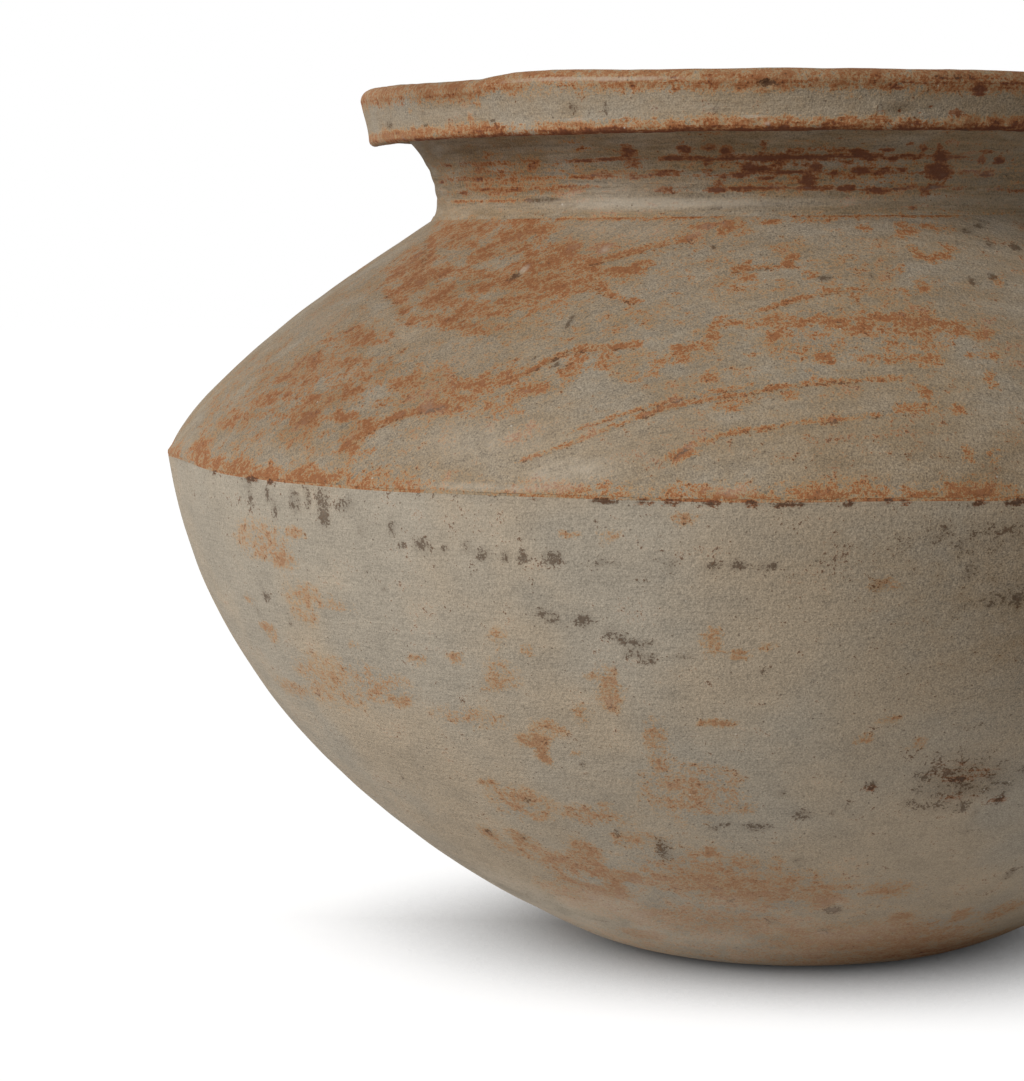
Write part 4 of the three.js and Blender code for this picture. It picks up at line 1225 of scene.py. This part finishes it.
class JAR_OT_studio(bpy.types.Operator):
    """Set up the pale floor, the soft light and the camera"""

    bl_idname = "jar.studio"
    bl_label = "Studio"

    FLOOR_HALF_WIDTH = 6.0
    # Paper as the light sees it, and as the camera does, which sees mostly its own white
    PAPER, SEEN_PAPER, SEEN_SHARE = 0.9, 2.1, 0.15
    # The shadow under the jar: its reach in metres, where it is darkest and where it ends,
    # and how fast it fades in front of the jar and behind, per millimetre
    SHADE_REACH, SHADE_DARK, SHADE_END, SHADE_FADE = 0.6, 0.04, 0.58, 0.0016
    WHITE_RAYS = ("Camera", "Glossy", "Transmission")
    SKY_LIGHT = 0.2
    KEY_LIGHT, KEY_WIDTH_DEG, KEY_TURN_DEG, KEY_HEIGHT_DEG = 2.5, 40, -55, 28

    def execute(self, context):
        scene = context.scene
        self.lay_floor(scene)
        self.light(scene)
        self.set_camera(scene)
        scene.view_settings.view_transform = "Standard"
        return {"FINISHED"}

    def lay_floor(self, scene):
        bm = bmesh.new()
        bmesh.ops.create_grid(bm, x_segments=1, y_segments=1, size=self.FLOOR_HALF_WIDTH)
        mesh = bpy.data.meshes.new("floor")
        bm.to_mesh(mesh)
        bm.free()
        floor = bpy.data.objects.new("floor", mesh)
        scene.collection.objects.link(floor)
        paper = Recipe(bpy.data.materials.new("pale_paper"))
        seen = paper.add("LightPath").outputs["Is Camera Ray"]
        plain, lit = (
            paper.add("BsdfDiffuse", Color=(level, level, level, 1)).outputs[0]
            for level in (self.PAPER, self.SEEN_PAPER)
        )
        sky = paper.add("AmbientOcclusion", {"samples": 16}, Distance=self.SHADE_REACH)
        depth = paper.maths("ABSOLUTE", paper.split(paper.place())[1])
        openness = Measure(paper, sky.outputs["AO"]) + depth * self.SHADE_FADE
        open_sky = paper.ease(openness, self.SHADE_DARK, self.SHADE_END)
        shaded = paper.add("Emission", Strength=open_sky).outputs[0]
        bright = paper.add("MixShader", _0=self.SEEN_SHARE, _1=shaded, _2=lit).outputs[0]
        mix = paper.add("MixShader", _0=seen, _1=plain, _2=bright)
        paper.add("OutputMaterial", Surface=mix.outputs[0])
        mesh.materials.append(paper.owner)

    def light(self, scene):
        air = Recipe(bpy.data.worlds.new("studio"))
        path = air.add("LightPath")
        rays = [Measure(air, path.outputs[f"Is {kind} Ray"]) for kind in self.WHITE_RAYS]
        white = air.maths("MINIMUM", sum(rays), 1)
        level = self.SKY_LIGHT + white * (1 - self.SKY_LIGHT)
        sky = air.add("Background", Color=(1, 1, 1, 1), Strength=level)
        air.add("OutputWorld", Surface=sky.outputs[0])
        scene.world = air.owner
        lamp = bpy.data.lights.new("key", "SUN")
        lamp.energy = self.KEY_LIGHT
        lamp.angle = math.radians(self.KEY_WIDTH_DEG)
        key = bpy.data.objects.new("key", lamp)
        turn = Matrix.Rotation(math.radians(self.KEY_TURN_DEG), 4, "Z")
        drop = Matrix.Rotation(math.radians(90 - self.KEY_HEIGHT_DEG), 4, "X")
        key.matrix_world = turn @ drop
        scene.collection.objects.link(key)

    def set_camera(self, scene):
        lens = bpy.data.cameras.new("camera")
        lens.sensor_width = SENSOR
        lens.lens = FOCAL_PIXELS / PICTURE_LONG_SIDE * SENSOR
        camera = bpy.data.objects.new("camera", lens)
        place = Matrix.Translation((0, -CAMERA_BACK, CAMERA_HEIGHT))
        turn = Matrix.Rotation(CAMERA_TURN, 4, "Z")
        dip = Matrix.Rotation(math.pi / 2 - CAMERA_DIP, 4, "X")
        roll = Matrix.Rotation(CAMERA_ROLL, 4, "Z")
        camera.matrix_world = place @ turn @ dip @ roll
        scene.collection.objects.link(camera)
        scene.camera = camera


class JAR_PT_sidebar(bpy.types.Panel):
    """Lists the jar's settings and pieces"""

    bl_idname = "JAR_PT_sidebar"
    bl_label = "Clay Water Jar"
    bl_space_type = "VIEW_3D"
    bl_region_type = "UI"
    bl_category = "Jar"

    def draw(self, context):
        for group in (context.scene.jar_shape, context.scene.jar_colours):
            for name in group.__annotations__:
                self.layout.prop(group, name)
        for operator in OPERATORS:
            self.layout.operator(operator.bl_idname)


OPERATORS = (
    JAR_OT_lower_bowl,
    JAR_OT_shoulder,
    JAR_OT_neck,
    JAR_OT_rim_band,
    JAR_OT_lutes,
    JAR_OT_studio,
)
CLASSES = (JarColours, JarShape, *OPERATORS, JAR_PT_sidebar)


def register():
    for cls in CLASSES:
        bpy.utils.register_class(cls)
    bpy.types.Scene.jar_colours = bpy.props.PointerProperty(type=JarColours)
    bpy.types.Scene.jar_shape = bpy.props.PointerProperty(type=JarShape)


def unregister():
    del bpy.types.Scene.jar_shape
    del bpy.types.Scene.jar_colours
    for cls in reversed(CLASSES):
        bpy.utils.unregister_class(cls)


def main():
    register()
    for operator in OPERATORS:
        group, name = operator.bl_idname.split(".")
        getattr(getattr(bpy.ops, group), name)()


if __name__ == "__main__":
    main()
